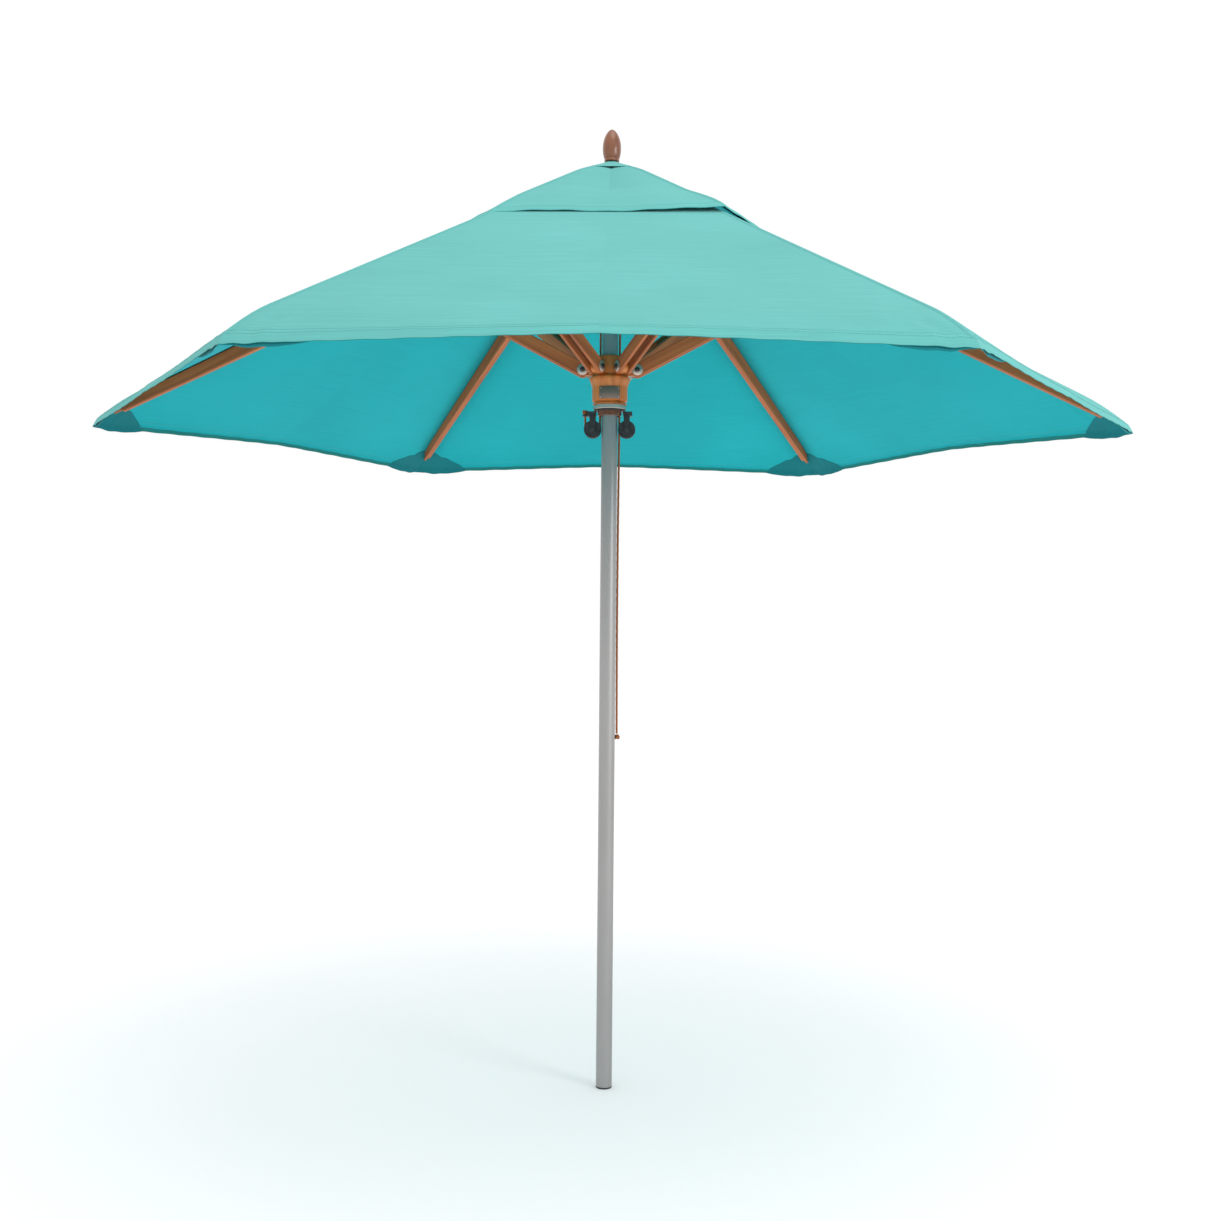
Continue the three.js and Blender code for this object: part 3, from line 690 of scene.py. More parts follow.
# %% Stretchers
CHEEK = 0.009
CHEEK_INNER = RIB_THICK / 2 + 0.0005
STRETCHER_HALF = 0.017
stretcher_outline = (arc_points(0, 0, STRETCHER_HALF, 90, 270, 12)
                     + arc_points(STRETCHER_LENGTH, 0, STRETCHER_HALF, -90, 90, 12))


def stretcher(i):
    """Two cheeks and the spacer between them, from the runner's hinge up to the rib's pivot."""
    lean = Matrix.Translation((FOLD_R, 0, RUNNER_HINGE.z)) @ Matrix.Rotation(-FOLD_ANGLE, 4, "Y")
    parts = []
    for side in (-1, 1):
        place = spoke(i) @ lean @ Matrix.Translation((0, side * (CHEEK_INNER + CHEEK / 2), 0))
        parts.append(bar("cheek", stretcher_outline, CHEEK, RIB_WOOD, place, 0.0, 2.1 * i + side, 0.0022))
    spacer_outline = [(0.23, -0.009), (0.32, -0.009), (0.32, 0.010), (0.23, 0.010)]
    parts.append(bar("spacer", spacer_outline, 2 * CHEEK_INNER, RIB_WOOD, spoke(i) @ lean, 0.0, i, 0.0008))
    return joined(f"stretcher_{i}_wood", parts)


for i in range(6):
    fit(stretcher(i), f"strut_{i}", "rib_wood", f"stretcher_{i}")
print("six stretchers of", round(STRETCHER_LENGTH, 3), "m between pivots")

# %% [markdown]
# ## Bolts
# Every pivot is a steel bolt with a large washer and a domed nut on each side. Only the heads show,
# so each bolt is a turned pin with a washer and a domed nut.

# %% Bolts
WASHER_AT = CHEEK_INNER + CHEEK + 0.0003
washer = [(0, 0.0005), (0.004, 0.0005)]
washer += [(r, WASHER_AT + out) for r, out in (
    (0.0040, 0), (0.0137, 0), (0.0145, 0.0006), (0.0145, 0.0016), (0.0132, 0.0024), (0.0040, 0.0026),
    (0, 0.0026))]
nut = [(r, WASHER_AT + out) for r, out in (
    (0, 0.0020), (0.0066, 0.0020), (0.0068, 0.0046), (0.0050, 0.0060), (0, 0.0065))]


def bolt(name, i, hinge):
    """A bolt across the radial plane of rib i, with the same fittings at both ends."""
    parts = []
    for side in (-1, 1):
        turn = Matrix.Rotation(-side * pi / 2, 4, "X")
        place = spoke(i) @ Matrix.Translation((hinge.x, 0, hinge.z)) @ turn
        parts += [turned("washer", washer, STEEL, 36, place), turned("nut", nut, DARK_STEEL, 24, place)]
    return joined(name, parts)


for i in range(6):
    fit(bolt(f"runner_bolt_{i}_steel", i, RUNNER_HINGE), "runner", "steel_fittings", f"runner_bolt_{i}")
    fit(bolt(f"rib_pin_{i}_steel", i, RIB_PIVOT), f"strut_{i}", "steel_fittings", f"rib_pin_{i}")
print("twelve bolts")

# %% [markdown]
# ## The runner
# The runner is turned from one block: a plain band at the bottom with a groove, a flare, and a crown
# with six lugs that the stretchers straddle. The lugs are joined with a boolean, so the skin is one
# piece. A blank metal plate is fixed to its band.

# %% Runner body
BORE_R = 0.0245
BAND_R = 0.0465
RUNNER_LOW, RUNNER_TOP = span("runner")
runner_profile = [
    (BORE_R, RUNNER_LOW), (0.0440, RUNNER_LOW), (0.0450, RUNNER_LOW + 0.001), (0.0448, 1.7988),
    (0.0410, 1.8000), (0.0396, 1.8012), (0.0396, 1.8028), (0.0430, 1.8044), (0.0460, 1.8060),
    (BAND_R, 1.8080), (BAND_R, 1.8400), (0.0470, 1.8440), (0.0490, 1.8500), (0.0520, 1.8575),
    (0.0537, 1.8630), (0.0530, 1.8665), (0.0490, 1.8698), (0.0450, 1.8722), (0.0420, 1.8760),
    (0.0420, 1.9170), (0.0410, 1.9210), (0.0380, RUNNER_TOP - 0.0008), (0.0370, RUNNER_TOP),
    (BORE_R, RUNNER_TOP)]
runner = turned("runner_wood_body", runner_profile, RUNNER_WOOD, 96, closed_loop=True)
lug_outline = ([(0.038, RUNNER_HINGE.z + 0.014), (0.038, RUNNER_HINGE.z - 0.014)]
               + arc_points(FOLD_R, RUNNER_HINGE.z, 0.014, -90, 90, 12))
lugs = [settle(bar("lug", lug_outline, 0.017, RUNNER_WOOD, spoke(i), edge=0.0015)) for i in range(6)]
combined(runner, lugs, "UNION")
holes = [turned("hole", [(0, RUNNER_LOW - 0.01), (0.0039, RUNNER_LOW - 0.01), (0.0039, RUNNER_TOP + 0.01),
                         (0, RUNNER_TOP + 0.01)], RUNNER_WOOD, 20, Matrix.Translation((x, SHEAVE_Y, 0)))
         for x in (-ROPE_X, ROPE_X)]
combined(runner, holes, "DIFFERENCE")
fit(sharpen(runner), "runner", "runner_wood", "runner")
print("runner", RUNNER_LOW, "to", RUNNER_TOP, len(runner.data.polygons), "faces")

# %% Sleeve, collar and label plate
SLEEVE_LOW, SLEEVE_HIGH = span("runner_sleeve")
sleeve = turned("runner_liner", [
    (POLE_R + 0.0006, SLEEVE_LOW), (BORE_R - 0.0003, SLEEVE_LOW), (BORE_R - 0.0003, SLEEVE_HIGH),
    (POLE_R + 0.0006, SLEEVE_HIGH)], NYLON, 64, closed_loop=True)
fit(sleeve, "runner", "black_nylon", "runner_sleeve")
COLLAR_LOW, COLLAR_HIGH = span("runner_collar")
collar = turned("collar_ring", [
    (BORE_R, COLLAR_LOW), (0.0415, COLLAR_LOW), (0.0430, COLLAR_LOW + 0.0015),
    (0.0430, COLLAR_HIGH - 0.0015), (0.0415, COLLAR_HIGH), (BORE_R, COLLAR_HIGH)], STEEL, 96,
    closed_loop=True)
fit(collar, "runner", "steel_fittings", "runner_collar")
LABEL_LOW, LABEL_HIGH = span("label_plate")


def label_plate():
    """A thin plate bent round the band, with four rivets and no lettering."""
    inner = BAND_R + 0.0003
    outline = arc_points(0, 0, inner + 0.0014, -124, -56, 20) + arc_points(0, 0, inner, -56, -124, 20)
    count = len(outline)
    points = [(x, y, z) for z in (LABEL_LOW + 0.0005, LABEL_HIGH - 0.0005) for x, y in outline]
    faces = [[j, j + 1, count - 2 - j, count - 1 - j] for j in range(count // 2 - 1)]
    faces += [[count + corner for corner in reversed(face)] for face in faces]
    faces += walls([range(count), range(count, 2 * count)])
    plate = face_out(build("plate", points, faces, LABEL_METAL))
    rivets = []
    for turn in (-119, -61):
        for z in (LABEL_LOW + 0.005, LABEL_HIGH - 0.005):
            way = Matrix.Rotation(radians(turn), 4, "Z") @ Matrix.Rotation(pi / 2, 4, "Y")
            place = Matrix.Translation((0, 0, z)) @ way
            head = inner + 0.0013
            rivets.append(turned("rivet", [(0, head - 0.001), (0.0016, head - 0.001), (0.0016, head + 0.0002),
                                           (0.0010, head + 0.0008), (0, head + 0.0010)], STEEL, 14, place))
    return joined("blank_label", [settle(round_edges(plate, 0.0003, 2))] + rivets)


fit(label_plate(), "runner", "label_metal", "label_plate")

# %% [markdown]
# ## Pulley block and sheaves
# Two grooved nylon wheels hang under the runner, each between two straps on an axle. The straps are
# narrower than the wheels, so the rope shows round their rims.

# %% Pulley block
SHEAVE_HALF = 0.010
BLOCK_LOW = 1.768
BLOCK_TOP = COLLAR_LOW - 0.0003


def strap(x, side):
    """One strap with a round lower end about the axle."""
    outline = arc_points(0, 0, 0.008, -180, 0, 12) + [(0.008, 0.041), (-0.008, 0.041)]
    middle = SHEAVE_Y + side * (SHEAVE_HALF + 0.0017)
    return bar("strap", outline, 0.0026, NYLON, Matrix.Translation((x, middle, SHEAVE_Z)), edge=0.0005)


def mirrored(half):
    """A profile given from its low end to its middle, and the same again upwards."""
    return half + [(r, -z) for r, z in reversed(half)]


def on_axle(x):
    """The place of a wheel or an axle: its own Z along the umbrella's Y."""
    return Matrix.Translation((x, SHEAVE_Y, SHEAVE_Z)) @ Matrix.Rotation(pi / 2, 4, "X")


def axle(x):
    end = -SHEAVE_HALF - 0.0045
    head = [(0, end), (0.0055, end), (0.0062, end + 0.0008), (0.0062, end + 0.0015), (0.0040, end + 0.0015)]
    return turned("axle", mirrored(head), DARK_STEEL, 32, on_axle(x))


block_ring = turned("ring", [
    (BORE_R, BLOCK_TOP - 0.0036), (0.0400, BLOCK_TOP - 0.0036), (0.0410, BLOCK_TOP - 0.0026),
    (0.0410, BLOCK_TOP - 0.001), (0.0400, BLOCK_TOP), (BORE_R, BLOCK_TOP)], NYLON, 72, closed_loop=True)
neck = turned("neck", [
    (BORE_R, BLOCK_LOW), (0.0300, BLOCK_LOW), (0.0310, BLOCK_LOW + 0.001), (0.0310, BLOCK_TOP - 0.0036),
    (BORE_R, BLOCK_TOP - 0.0036)], FINIAL_WOOD, 72, closed_loop=True)
block_parts = [block_ring, neck]
for part in block_parts:
    combined(part, [slab("notch", (0.0108, 0.0108, 0.03), (x, SHEAVE_Y - 0.0015, 1.775), NYLON)
                    for x in (-ROPE_X, ROPE_X)], "DIFFERENCE")
for x in (-SHEAVE_X, SHEAVE_X):
    block_parts += [strap(x, -1), strap(x, 1), axle(x),
                    slab("bridge", (0.024, 0.026, 0.0110), (1.05 * x, SHEAVE_Y, 1.7752), NYLON)]
block_parts.append(slab("ear", (0.022, 0.016, 0.004), (ANCHOR_X + 0.004, SHEAVE_Y, 1.770), NYLON))
fit(joined("pulley_block_nylon", block_parts), "runner", "black_nylon", "pulley_block")

# %% Sheaves
groove = arc_points(0.0215, 0, 0.0078, 250, 180, 7)[:-1]
flange = [(0.0043, 0), (0.0085, 0), (0.0092, 0.0012), (0.0175, 0.0012), (0.0182, 0), (0.0222, 0),
          (0.0230, 0.0007)]
sheave_half = [(r, z - SHEAVE_HALF) for r, z in flange] + [(max(0.0160, r), z) for r, z in groove]
for name, x in (("left", -SHEAVE_X), ("right", SHEAVE_X)):
    wheel = turned(f"sheave_{name}_wheel", mirrored(sheave_half), NYLON, 64, on_axle(x), closed_loop=True)
    fit(wheel, f"sheave_{name}", "black_nylon", f"sheave_{name}")
print("pulley block and two sheaves")

# %% [markdown]
# ## The canopy
# Six gores of woven cloth meet in seams along the ribs. When the umbrella folds, each gore creases
# down its middle, so each is made as two halves that meet edge to edge on one smooth surface. The
# surface is a formula: the flat of the gore, a shallow sag in each half, fine puckers at the stitched
# hem, and corners drawn down. The middle of the gore stays straight, because that is the line where
# the two halves meet when it is folded.

# %% The canopy's surface
CORNER_DROP = 0.0231
DROOP_FROM = 1.24
TURN_DOWN = 0.0105
TURN_FROM = 1.3596
SAG = 0.004
PUCKER = 0.0005
SLACK = 0.021
SLACK_GORES = (3, 5)
PUCKER_LENGTH = 0.085
CREASE = 0.0012
CREASE_LENGTH = 0.050
TACK_DEPTH = 0.004
TACK_R = 1.312
TACK_ALONG = 0.062
TACK_WIDTH = 0.014
HEM = 0.022


def smooth(x):
    x = min(1.0, max(0.0, x))
    return x * x * (3 - 2 * x)


def canopy_height(r, along):
    """Height of the cloth's outer face at corner radius r, at a distance along the hem from the rib."""
    half = r / 2
    across = min(1.0, along / half)
    outwards = max(0.0, (r - DROOP_FROM) / (CANOPY_R - DROOP_FROM))
    drop = CORNER_DROP * outwards ** 2 * (1 - across) ** 1.25
    drop += TURN_DOWN * max(0.0, (r - TURN_FROM) / (CANOPY_R - TURN_FROM)) ** 1.4
    hang = SAG * sin(pi * across) ** 2 * smooth((r - 0.5) / 0.45) * (1 - 0.8 * smooth((r - 1.0) / 0.37))
    ripple = PUCKER * cos(2 * pi * (half - along) / PUCKER_LENGTH) * exp(-(CANOPY_R - r) / 0.055)
    ripple *= smooth(along / 0.05)
    creases = CREASE * cos(2 * pi * along / CREASE_LENGTH) * exp(-(along / 0.11) ** 2)
    creases *= smooth((r - 1.20) / 0.12) * smooth(along / 0.02)
    tack = TACK_DEPTH * exp(-((r - TACK_R) ** 2 + (along - TACK_ALONG) ** 2) / TACK_WIDTH ** 2)
    return flat_height(r) - drop - hang + ripple - creases - tack


def slack_canopy_height(r, along):
    """The same surface where the gore hangs looser, so that its lower part falls more steeply."""
    across = min(1.0, 2 * along / r)
    outwards = max(0.0, r - 1.0) / (CANOPY_R - 1.0)
    return canopy_height(r, along) - SLACK * outwards ** 2 * sin(pi / 2 * across) ** 1.5


def canopy_surface(i, letter):
    gore = i if letter == "a" else (i - 1) % 6
    return slack_canopy_height if gore in SLACK_GORES else canopy_height


def raised(surface, lift):
    """A surface a little above another one."""
    return lambda r, along: surface(r, along) + lift


def hem_surface(i, letter):
    return raised(canopy_surface(i, letter), 0.0009)


def cloth_point(r, along, side, height):
    """A point of the hexagon's half edge at radius r, on one side of rib 0."""
    return (r - along / 2, side * sqrt(0.75) * along, height(r, along))


# %% Thin sheets from a surface
def thin_sheet(name, rows, thickness, materials, place, local, slots=None):
    """A closed sheet: its outer face, the face a thickness below, and the walls round its edge."""
    across, count = len(rows[0]), len(rows) * len(rows[0])
    outer = [point for row in rows for point in row]
    points = outer + [(x, y, z - thickness) for x, y, z in outer]
    faces, kinds = [], []
    numbers = [range(start, start + across) for start in range(0, count, across)]
    for k, corners in enumerate(walls(numbers, around=False)):
        faces += [corners, [count + corner for corner in reversed(corners)]]
        kinds += slots(k // (across - 1)) if slots else (0, 0)
    rim = [j for j in range(across)] + [(i + 1) * across - 1 for i in range(1, len(rows))]
    rim += [count - 1 - j for j in range(1, across)] + [i * across for i in range(len(rows) - 2, 0, -1)]
    for start, end in zip(rim, rim[1:] + rim[:1]):
        faces.append([start, end, end + count, start + count])
        kinds.append(kinds[-1] if len(materials) > 1 else 0)
    places = [place @ Vector(point) for point in points]
    piece = build(name, places, faces, materials, local * 2)
    piece.data.polygons.foreach_set("material_index", kinds)
    face_out(piece)
    border = set(rim) | {corner + count for corner in rim}
    mesh = piece.data
    for edge in mesh.edges:
        a, b = edge.vertices
        if a in border and b in border and (a < count) == (b < count):
            edge.use_edge_sharp = True
    return piece


def spaced(start, end, count, power=1.0):
    """Numbers from start to end, packed towards the end when power is over 1."""
    return [start + (end - start) * (1 - (1 - k / count) ** power) for k in range(count + 1)]


CLOTH_THICK = 0.0011
BLEND_END = 0.085
VENT_BLEND_END = 0.060


def fold_with(piece, i, letter, slot, *nodes, end=BLEND_END):
    """Bakes the piece's place into its mesh and hides the CAD nodes it stands for; i, letter and end are not
    used.
    """
    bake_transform(piece)
    if nodes:
        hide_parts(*nodes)
    return piece


def cloth_half(name, i, letter, radii, columns, height, thickness, materials, slots=None, first=0.0):
    """Half a gore between two radii, from its rib to the gore's middle."""
    side = SIDES[letter]
    rows, local = [], []
    for r in radii:
        row = []
        for k in range(columns + 1):
            along = first + (r / 2 - first) * k / columns
            row.append(cloth_point(r, along, side, height))
            local.append((along - r / 2, r * 0.98, 0.37 * i))
        rows.append(row)
    return thin_sheet(name, rows, thickness, materials, spoke(i), local, slots)


# %% Main canopy
ROWS = 58
COLUMNS = 76
radii = spaced(VENT_OPENING_R, TURN_FROM, ROWS, 1.7)
radii += [TURN_FROM + (CANOPY_R - TURN_FROM) * k / 4 for k in range(1, 5)]
# The third finish is painted shade: it colours the inner face of the turned-down hem rows and every edge wall.
main_materials = [CLOTH_TOP, CLOTH_UNDER_LIT_THROUGH, CLOTH_HEM_SHADE]


def main_slots(row):
    return (0, 2 if row >= ROWS + 2 else 1)


for i, letter in HALVES:
    piece = cloth_half(f"canopy_cloth_{i}{letter}", i, letter, radii, COLUMNS, canopy_surface(i, letter),
                       CLOTH_THICK, main_materials, main_slots)
    fold_with(piece, i, letter, "canopy_cloth", f"canopy_{i}{letter}")


# %% [markdown]
# ## Hem, pockets and seam tapes
# The hem is a turned strip, so it stands a little proud on the outside. Under each corner a triangular
# pocket takes the rib's peg; its darker colour is painted shade. A felled seam runs up each ridge.

# %% Hem band
hem_radii = [CANOPY_R - HEM + k * 0.0005 for k in (0, 2, 8, 16, 20)]
hem_radii += [TURN_FROM + (CANOPY_R - TURN_FROM) * k / 4 for k in range(5)]
for i, letter in HALVES:
    hem = cloth_half(f"hem_{i}{letter}", i, letter, hem_radii, COLUMNS, hem_surface(i, letter), 0.0007,
                     [CLOTH_TOP])
    fold_with(hem, i, letter, "canopy_cloth")

# %% Corner pockets
POCKET_SPAN = 0.165


def pocket(i, letter):
    """Half of the triangular pocket under a corner, hung just below the cloth."""
    rows, local = [], []
    for k in range(13):
        depth = k / 12
        row = []
        for j in range(17):
            along = POCKET_SPAN * 0.985 * j / 16
            inner = CANOPY_R - POCKET_SPAN / 2 + along / 2
            r = inner + (CANOPY_R - 0.001 - inner) * depth
            belly = 0.006 * (1 - along / POCKET_SPAN) ** 2 * sin(pi * depth)
            belly += 0.008 * sin(pi * along / POCKET_SPAN) * depth ** 2
            x, y, z = cloth_point(r, along, SIDES[letter], canopy_surface(i, letter))
            row.append((x, y, z - CLOTH_THICK - 0.0008 - belly))
            local.append((x, y, 0.4 * i))
        rows.append(row)
    # The pocket's darker colour is painted shade.
    piece = thin_sheet(f"pocket_{i}{letter}", rows, 0.001, [CLOTH_POCKET_SHADE], spoke(i), local)
    return fold_with(piece, i, letter, "canopy_cloth")


for i, letter in HALVES:
    pocket(i, letter)

# %% Seam tapes up the ridges
SEAM_HALF = 0.0075


def seam_tape(name, i, height, inner, outer):
    """A narrow raised band along a ridge, following the cloth on both sides of it."""
    rows, local = [], []
    for k in range(61):
        r = inner + (outer - inner) * k / 60
        row = []
        for j in range(7):
            across = SEAM_HALF * (j / 3 - 1)
            along = abs(across) / sqrt(0.75)
            lift = 0.0011 if abs(across) < SEAM_HALF * 0.8 else 0.0006
            row.append((r - along / 2, across, height(r, along) + lift))
            local.append((across, r, 0.5 * i))
        rows.append(row)
    piece = thin_sheet(name, rows, 0.0009, [CLOTH_TOP], spoke(i), local)
    return fit(piece, f"rib_{i}", "canopy_cloth")


for i in range(6):
    seam_tape(f"ridge_seam_{i}", i, canopy_height, VENT_OPENING_R + 0.004, CANOPY_R - 0.0015)
print("hems, pockets and seams")

# %% [markdown]
# ## The vent cap
# A second small hexagon lies over the opening at the top and lets the wind out. Its hem floats about
# 20 mm above the main cloth between the corners. It is made in halves in the same way, and a small
# crown patch covers its middle under the finial.

# %% Vent surface
VENT_TURN_FROM = 0.531
VENT_HEM = 0.018


def vent_ridge(r):
    """Height of the vent's ridges: it swells a little near the top and comes down to rest at its hem."""
    swell = 0.0008 + 0.0125 * smooth(r / 0.18) - 0.0065 * smooth((r - 0.40) / 0.14)
    return flat_height(r) + swell


def vent_height(r, along):
    across = min(1.0, along / (r / 2))
    lift = 0.003 * smooth((r - 0.20) / 0.2) * sin(pi * across) ** 2
    lower = 0.9 * (vent_ridge(r) - flat_height(r)) * across ** 2 * (1 - smooth((r - 0.30) / 0.12))
    turn = 0.0045 * max(0.0, (r - VENT_TURN_FROM) / (VENT_R - VENT_TURN_FROM)) ** 1.4
    dip = 0.0025 * smooth((r - 0.49) / 0.05) * (1 - across) ** 4
    ripple = 0.0007 * cos(2 * pi * (r / 2 - along) / 0.090) * exp(-(VENT_R - r) / 0.04)
    return vent_ridge(r) + lift - lower - turn - dip + ripple * smooth(along / 0.05)


def lifted_vent_height(r, along):
    """The same surface with one corner that the wind has turned up a little."""
    near = (1 - min(1.0, along / (r / 2))) ** 2
    return vent_height(r, along) + 0.015 * smooth((r - 0.36) / 0.18) * near


def vent_surface(i):
    return lifted_vent_height if i == LIFTED_CORNER else vent_height


def vent_hem_surface(i):
    return raised(vent_surface(i), 0.0008)


# The vent's turned-down rows take the painted shade on their inner face, as the main canopy's do.
def vent_slots(row):
    return (0, 2 if row >= VENT_ROWS else 1)


VENT_INNER_R = CROWN_R - 0.015
VENT_ROWS = 34
vent_turn_radii = [VENT_TURN_FROM + (VENT_R - VENT_TURN_FROM) * k / 3 for k in (1, 2, 3)]
vent_radii = spaced(VENT_INNER_R, VENT_TURN_FROM, VENT_ROWS, 1.2) + vent_turn_radii
vent_band = [VENT_R - VENT_HEM + k * 0.0005 for k in (0, 2, 9, 18)] + vent_turn_radii
for i, letter in HALVES:
    piece = cloth_half(f"vent_cloth_{i}{letter}", i, letter, vent_radii, 36, vent_surface(i), CLOTH_THICK,
                       main_materials, vent_slots)
    fold_with(piece, i, letter, "canopy_cloth", f"vent_{i}", end=VENT_BLEND_END)
    hem = cloth_half(f"vent_hem_{i}{letter}", i, letter, vent_band, 36, vent_hem_surface(i), 0.0006,
                     [CLOTH_TOP])
    fold_with(hem, i, letter, "canopy_cloth", end=VENT_BLEND_END)
for i in range(6):
    seam_tape(f"vent_seam_{i}", i, vent_surface(i), VENT_INNER_R + 0.006, VENT_R - 0.001)

# %% Crown patch
crown_radii = (0.0053, 0.014, 0.020, 0.028, 0.045, 0.065, 0.085, CROWN_R)
crown_outer = [(r, min(2.4368, vent_ridge(r) + 0.0016)) for r in crown_radii]
crown_inner = [(r, z - 0.0014) for r, z in reversed(crown_outer)]
crown = turned("crown_patch", crown_outer + crown_inner, CLOTH_TOP, 72, closed_loop=True, grain="x")
for vertex in crown.data.vertices:
    corner = (atan2(vertex.co.y, vertex.co.x) + SIXTH / 2) % SIXTH - SIXTH / 2
    drawn_in = cos(SIXTH / 2) / cos(SIXTH / 2 - abs(corner))
    vertex.co = (vertex.co.x * drawn_in, vertex.co.y * drawn_in, vertex.co.z)
sharpen(crown, 60)
fit(crown, "root", "canopy_cloth", "vent_crown")

# %% [markdown]
# ## Stitches
# Thousands of equal stitches along curves are a job for Geometry Nodes: the tree spaces points along
# the seam, lays one short rounded stitch on each, turned along the seam, then realizes them. The
# result is turned into a plain mesh.

# %% The stitch tree
STITCH_SPACING = 0.006
STITCHES = bpy.data.node_groups.new("stitches_along_a_seam", "GeometryNodeTree")
SOCKETS = {}
for name, kind, value in (("Geometry", "Geometry", None), ("Spacing", "Float", STITCH_SPACING),
                          ("Stitch length", "Float", 0.0042), ("Thread radius", "Float", 0.00042),
                          ("Thread", "Material", None)):
    socket = STITCHES.interface.new_socket(name, in_out="INPUT", socket_type="NodeSocket" + kind)
    if value:
        socket.default_value = value
    SOCKETS[name] = socket.identifier
STITCHES.interface.new_socket("Geometry", in_out="OUTPUT", socket_type="NodeSocketGeometry")
given, result, spread, tangent, turn, thread, lay, real, paint = (STITCHES.nodes.new(kind) for kind in (
    "NodeGroupInput", "NodeGroupOutput", "GeometryNodeResampleCurve", "GeometryNodeInputTangent",
    "FunctionNodeAlignRotationToVector", "GeometryNodeMeshCylinder", "GeometryNodeInstanceOnPoints",
    "GeometryNodeRealizeInstances", "GeometryNodeSetMaterial"))
spread.mode = "LENGTH"
turn.axis = "Z"
thread.inputs["Vertices"].default_value = 6
for source, output, target, entry in (
        (given, "Geometry", spread, "Curve"), (given, "Spacing", spread, "Length"),
        (tangent, "Tangent", turn, "Vector"), (given, "Thread radius", thread, "Radius"),
        (given, "Stitch length", thread, "Depth"), (spread, "Curve", lay, "Points"),
        (thread, "Mesh", lay, "Instance"), (turn, "Rotation", lay, "Rotation"),
        (lay, "Instances", real, "Geometry"), (real, "Geometry", paint, "Geometry"),
        (given, "Thread", paint, "Material"), (paint, "Geometry", result, "Geometry")):
    STITCHES.links.new(source.outputs[output], target.inputs[entry])


def stitched(name, seams):
    """A plain mesh of stitches along several lines of points."""
    curve = bpy.data.curves.new(name, "CURVE")
    curve.dimensions = "3D"
    for seam in seams:
        spline = curve.splines.new("POLY")
        spline.points.add(len(seam) - 1)
        for point, place in zip(spline.points, seam):
            point.co = (*place, 1)
    guide = placed(name + "_guide", curve)
    modifier = guide.modifiers.new("stitches", "NODES")
    modifier.node_group = STITCHES
    modifier[SOCKETS["Spacing"]] = STITCH_SPACING
    modifier[SOCKETS["Thread"]] = THREAD
    mesh = applied(guide)
    bpy.data.objects.remove(guide)
    keep = mesh.attributes.new("local", "FLOAT_VECTOR", "POINT")
    keep.data.foreach_set("vector", [number for vertex in mesh.vertices for number in vertex.co])
    mesh.polygons.foreach_set("use_smooth", [True] * len(mesh.polygons))
    return placed(name, mesh)


# %% Stitch the hems and the seams
def hem_line(i, letter, r, height, lift):
    """A line along the hem of one half gore, just above or below the cloth."""
    half = r / 2
    line = []
    for k in range(61):
        along = 0.004 + (half - 0.006) * k / 60
        x, y, z = cloth_point(r, along, SIDES[letter], height)
        line.append(spoke(i) @ Vector((x, y, z + lift)))
    return line


def ridge_line(i, across, inner, outer, height, lift):
    along = abs(across) / sqrt(0.75)
    stops = [inner + (outer - inner) * k / 40 for k in range(41)]
    return [spoke(i) @ Vector((r - along / 2, across, height(r, along) + lift)) for r in stops]


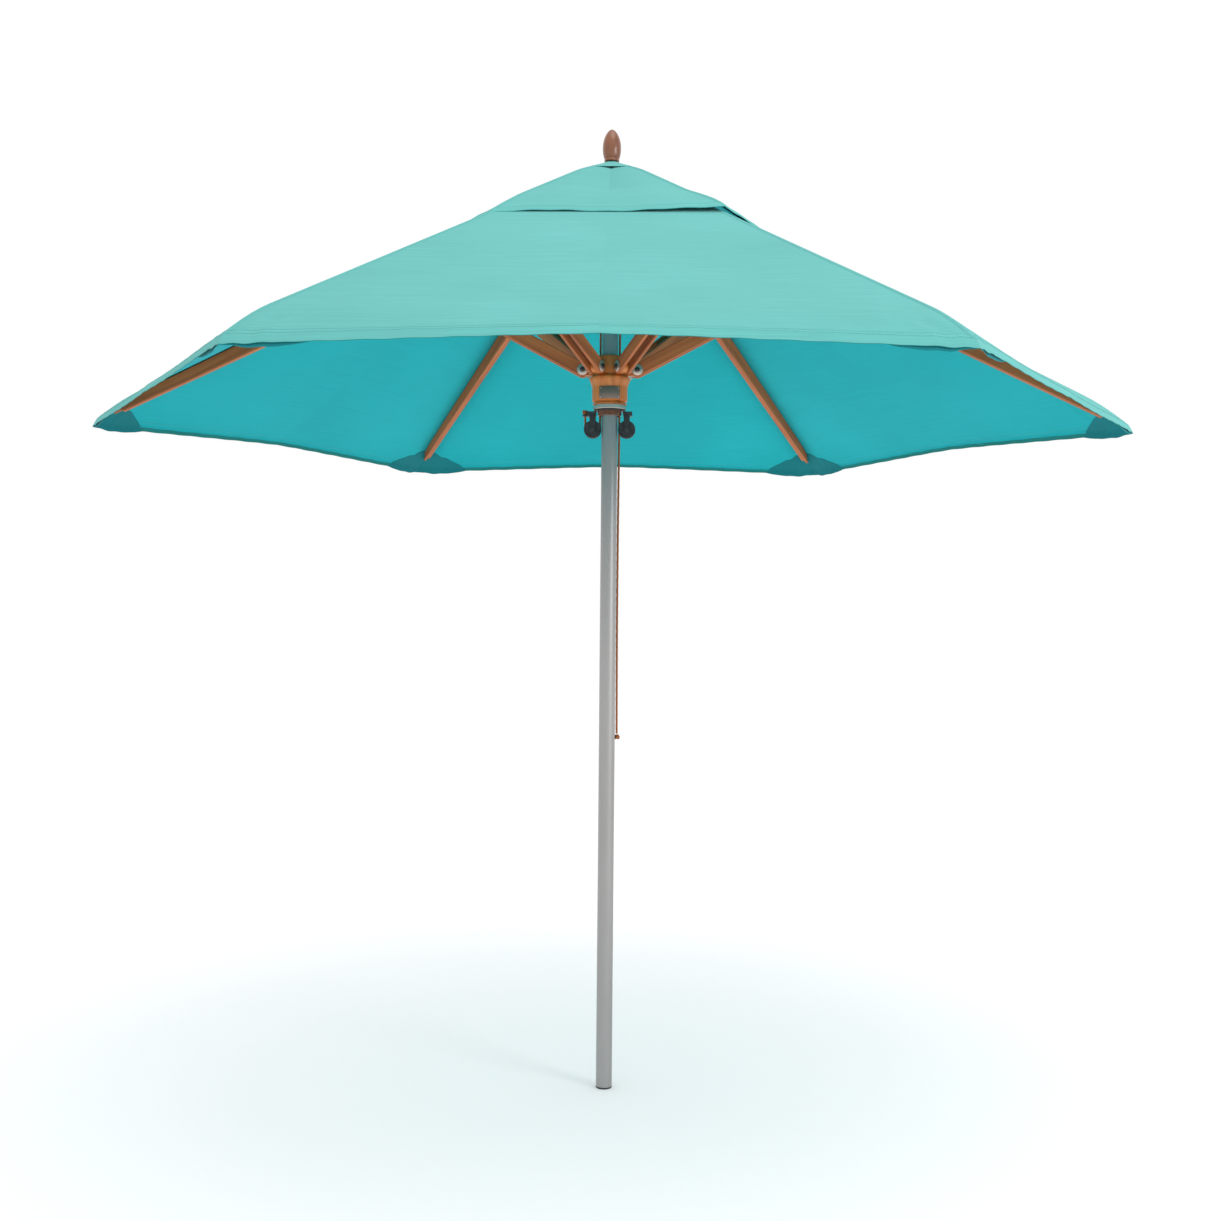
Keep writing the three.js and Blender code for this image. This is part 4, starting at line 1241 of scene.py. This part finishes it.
OVER, UNDER, ON_HEM = 0.0011, -CLOTH_THICK - 0.0001, 0.0002
HEM_SEAM_R = CANOPY_R - HEM + 0.0035
total_stitches = 0
for i, letter in HALVES:
    outside = hem_surface(i, letter)
    lines = [hem_line(i, letter, HEM_SEAM_R, outside, ON_HEM),
             hem_line(i, letter, HEM_SEAM_R, canopy_surface(i, letter), UNDER),
             hem_line(i, letter, TURN_FROM + 0.001, outside, ON_HEM)]
    vent_lines = [hem_line(i, letter, VENT_R - VENT_HEM + 0.003, vent_hem_surface(i), ON_HEM)]
    for name, seams, end in (("hem", lines, BLEND_END), ("vent", vent_lines, VENT_BLEND_END)):
        piece = stitched(f"{name}_stitches_{i}{letter}", seams)
        fold_with(piece, i, letter, "canopy_cloth", end=end)
        total_stitches += len(piece.data.vertices) // 12
for i in range(6):
    ridges = ((VENT_OPENING_R + 0.01, CANOPY_R - 0.014, canopy_height),
              (VENT_INNER_R + 0.01, VENT_R - 0.012, vent_surface(i)))
    seams = [ridge_line(i, side * 0.005, *ridge, OVER) for ridge in ridges for side in (-1, 1)]
    piece = stitched(f"seam_stitches_{i}", seams)
    fit(piece, f"rib_{i}", "canopy_cloth")
    total_stitches += len(piece.data.vertices) // 12
print("about", total_stitches, "stitches")

# %% [markdown]
# ## Floor and light
# The floor is a wide pale disc and the air is white, so almost no horizon shows from any side. The
# light is soft and comes from above and a little from the right, so the pole's right side is the
# brighter one, and the floor throws enough back up to show the underside.

# %% Studio
FLOOR, _ = new_material(
    "pale_floor", Roughness=0.9, Specular_IOR_Level=0.1, Base_Color=(0.93, 0.93, 0.93, 1),
    Emission_Color=(1, 1, 1, 1), Emission_Strength=0.1)
floor = turned("studio_floor", [(0, -0.02), (30, -0.02), (30, 0), (0, 0)], FLOOR, 96)


def area_light(name, place, target, size, power):
    data = bpy.data.lights.new(name, "AREA")
    data.shape = "DISK"
    data.size = size
    data.energy = power
    lamp = placed(name, data)
    lamp.location = place
    lamp.rotation_euler = (Vector(target) - Vector(place)).to_track_quat("-Z", "Y").to_euler()


area_light("overhead_softbox", (0.6, -1.5, 6.5), (0, 0, 2), 4.0, 60)
area_light("front_right_softbox", (5.0, -4.0, 3.0), (0, 0, 1.4), 2.5, 110)
world = bpy.data.worlds.new("studio_air")
bpy.context.scene.world = world
world.use_nodes = True
world.node_tree.nodes["Background"].inputs["Color"].default_value = (1, 1, 1, 1)
world.node_tree.nodes["Background"].inputs["Strength"].default_value = 1.0
bpy.context.scene.view_settings.view_transform = "Standard"
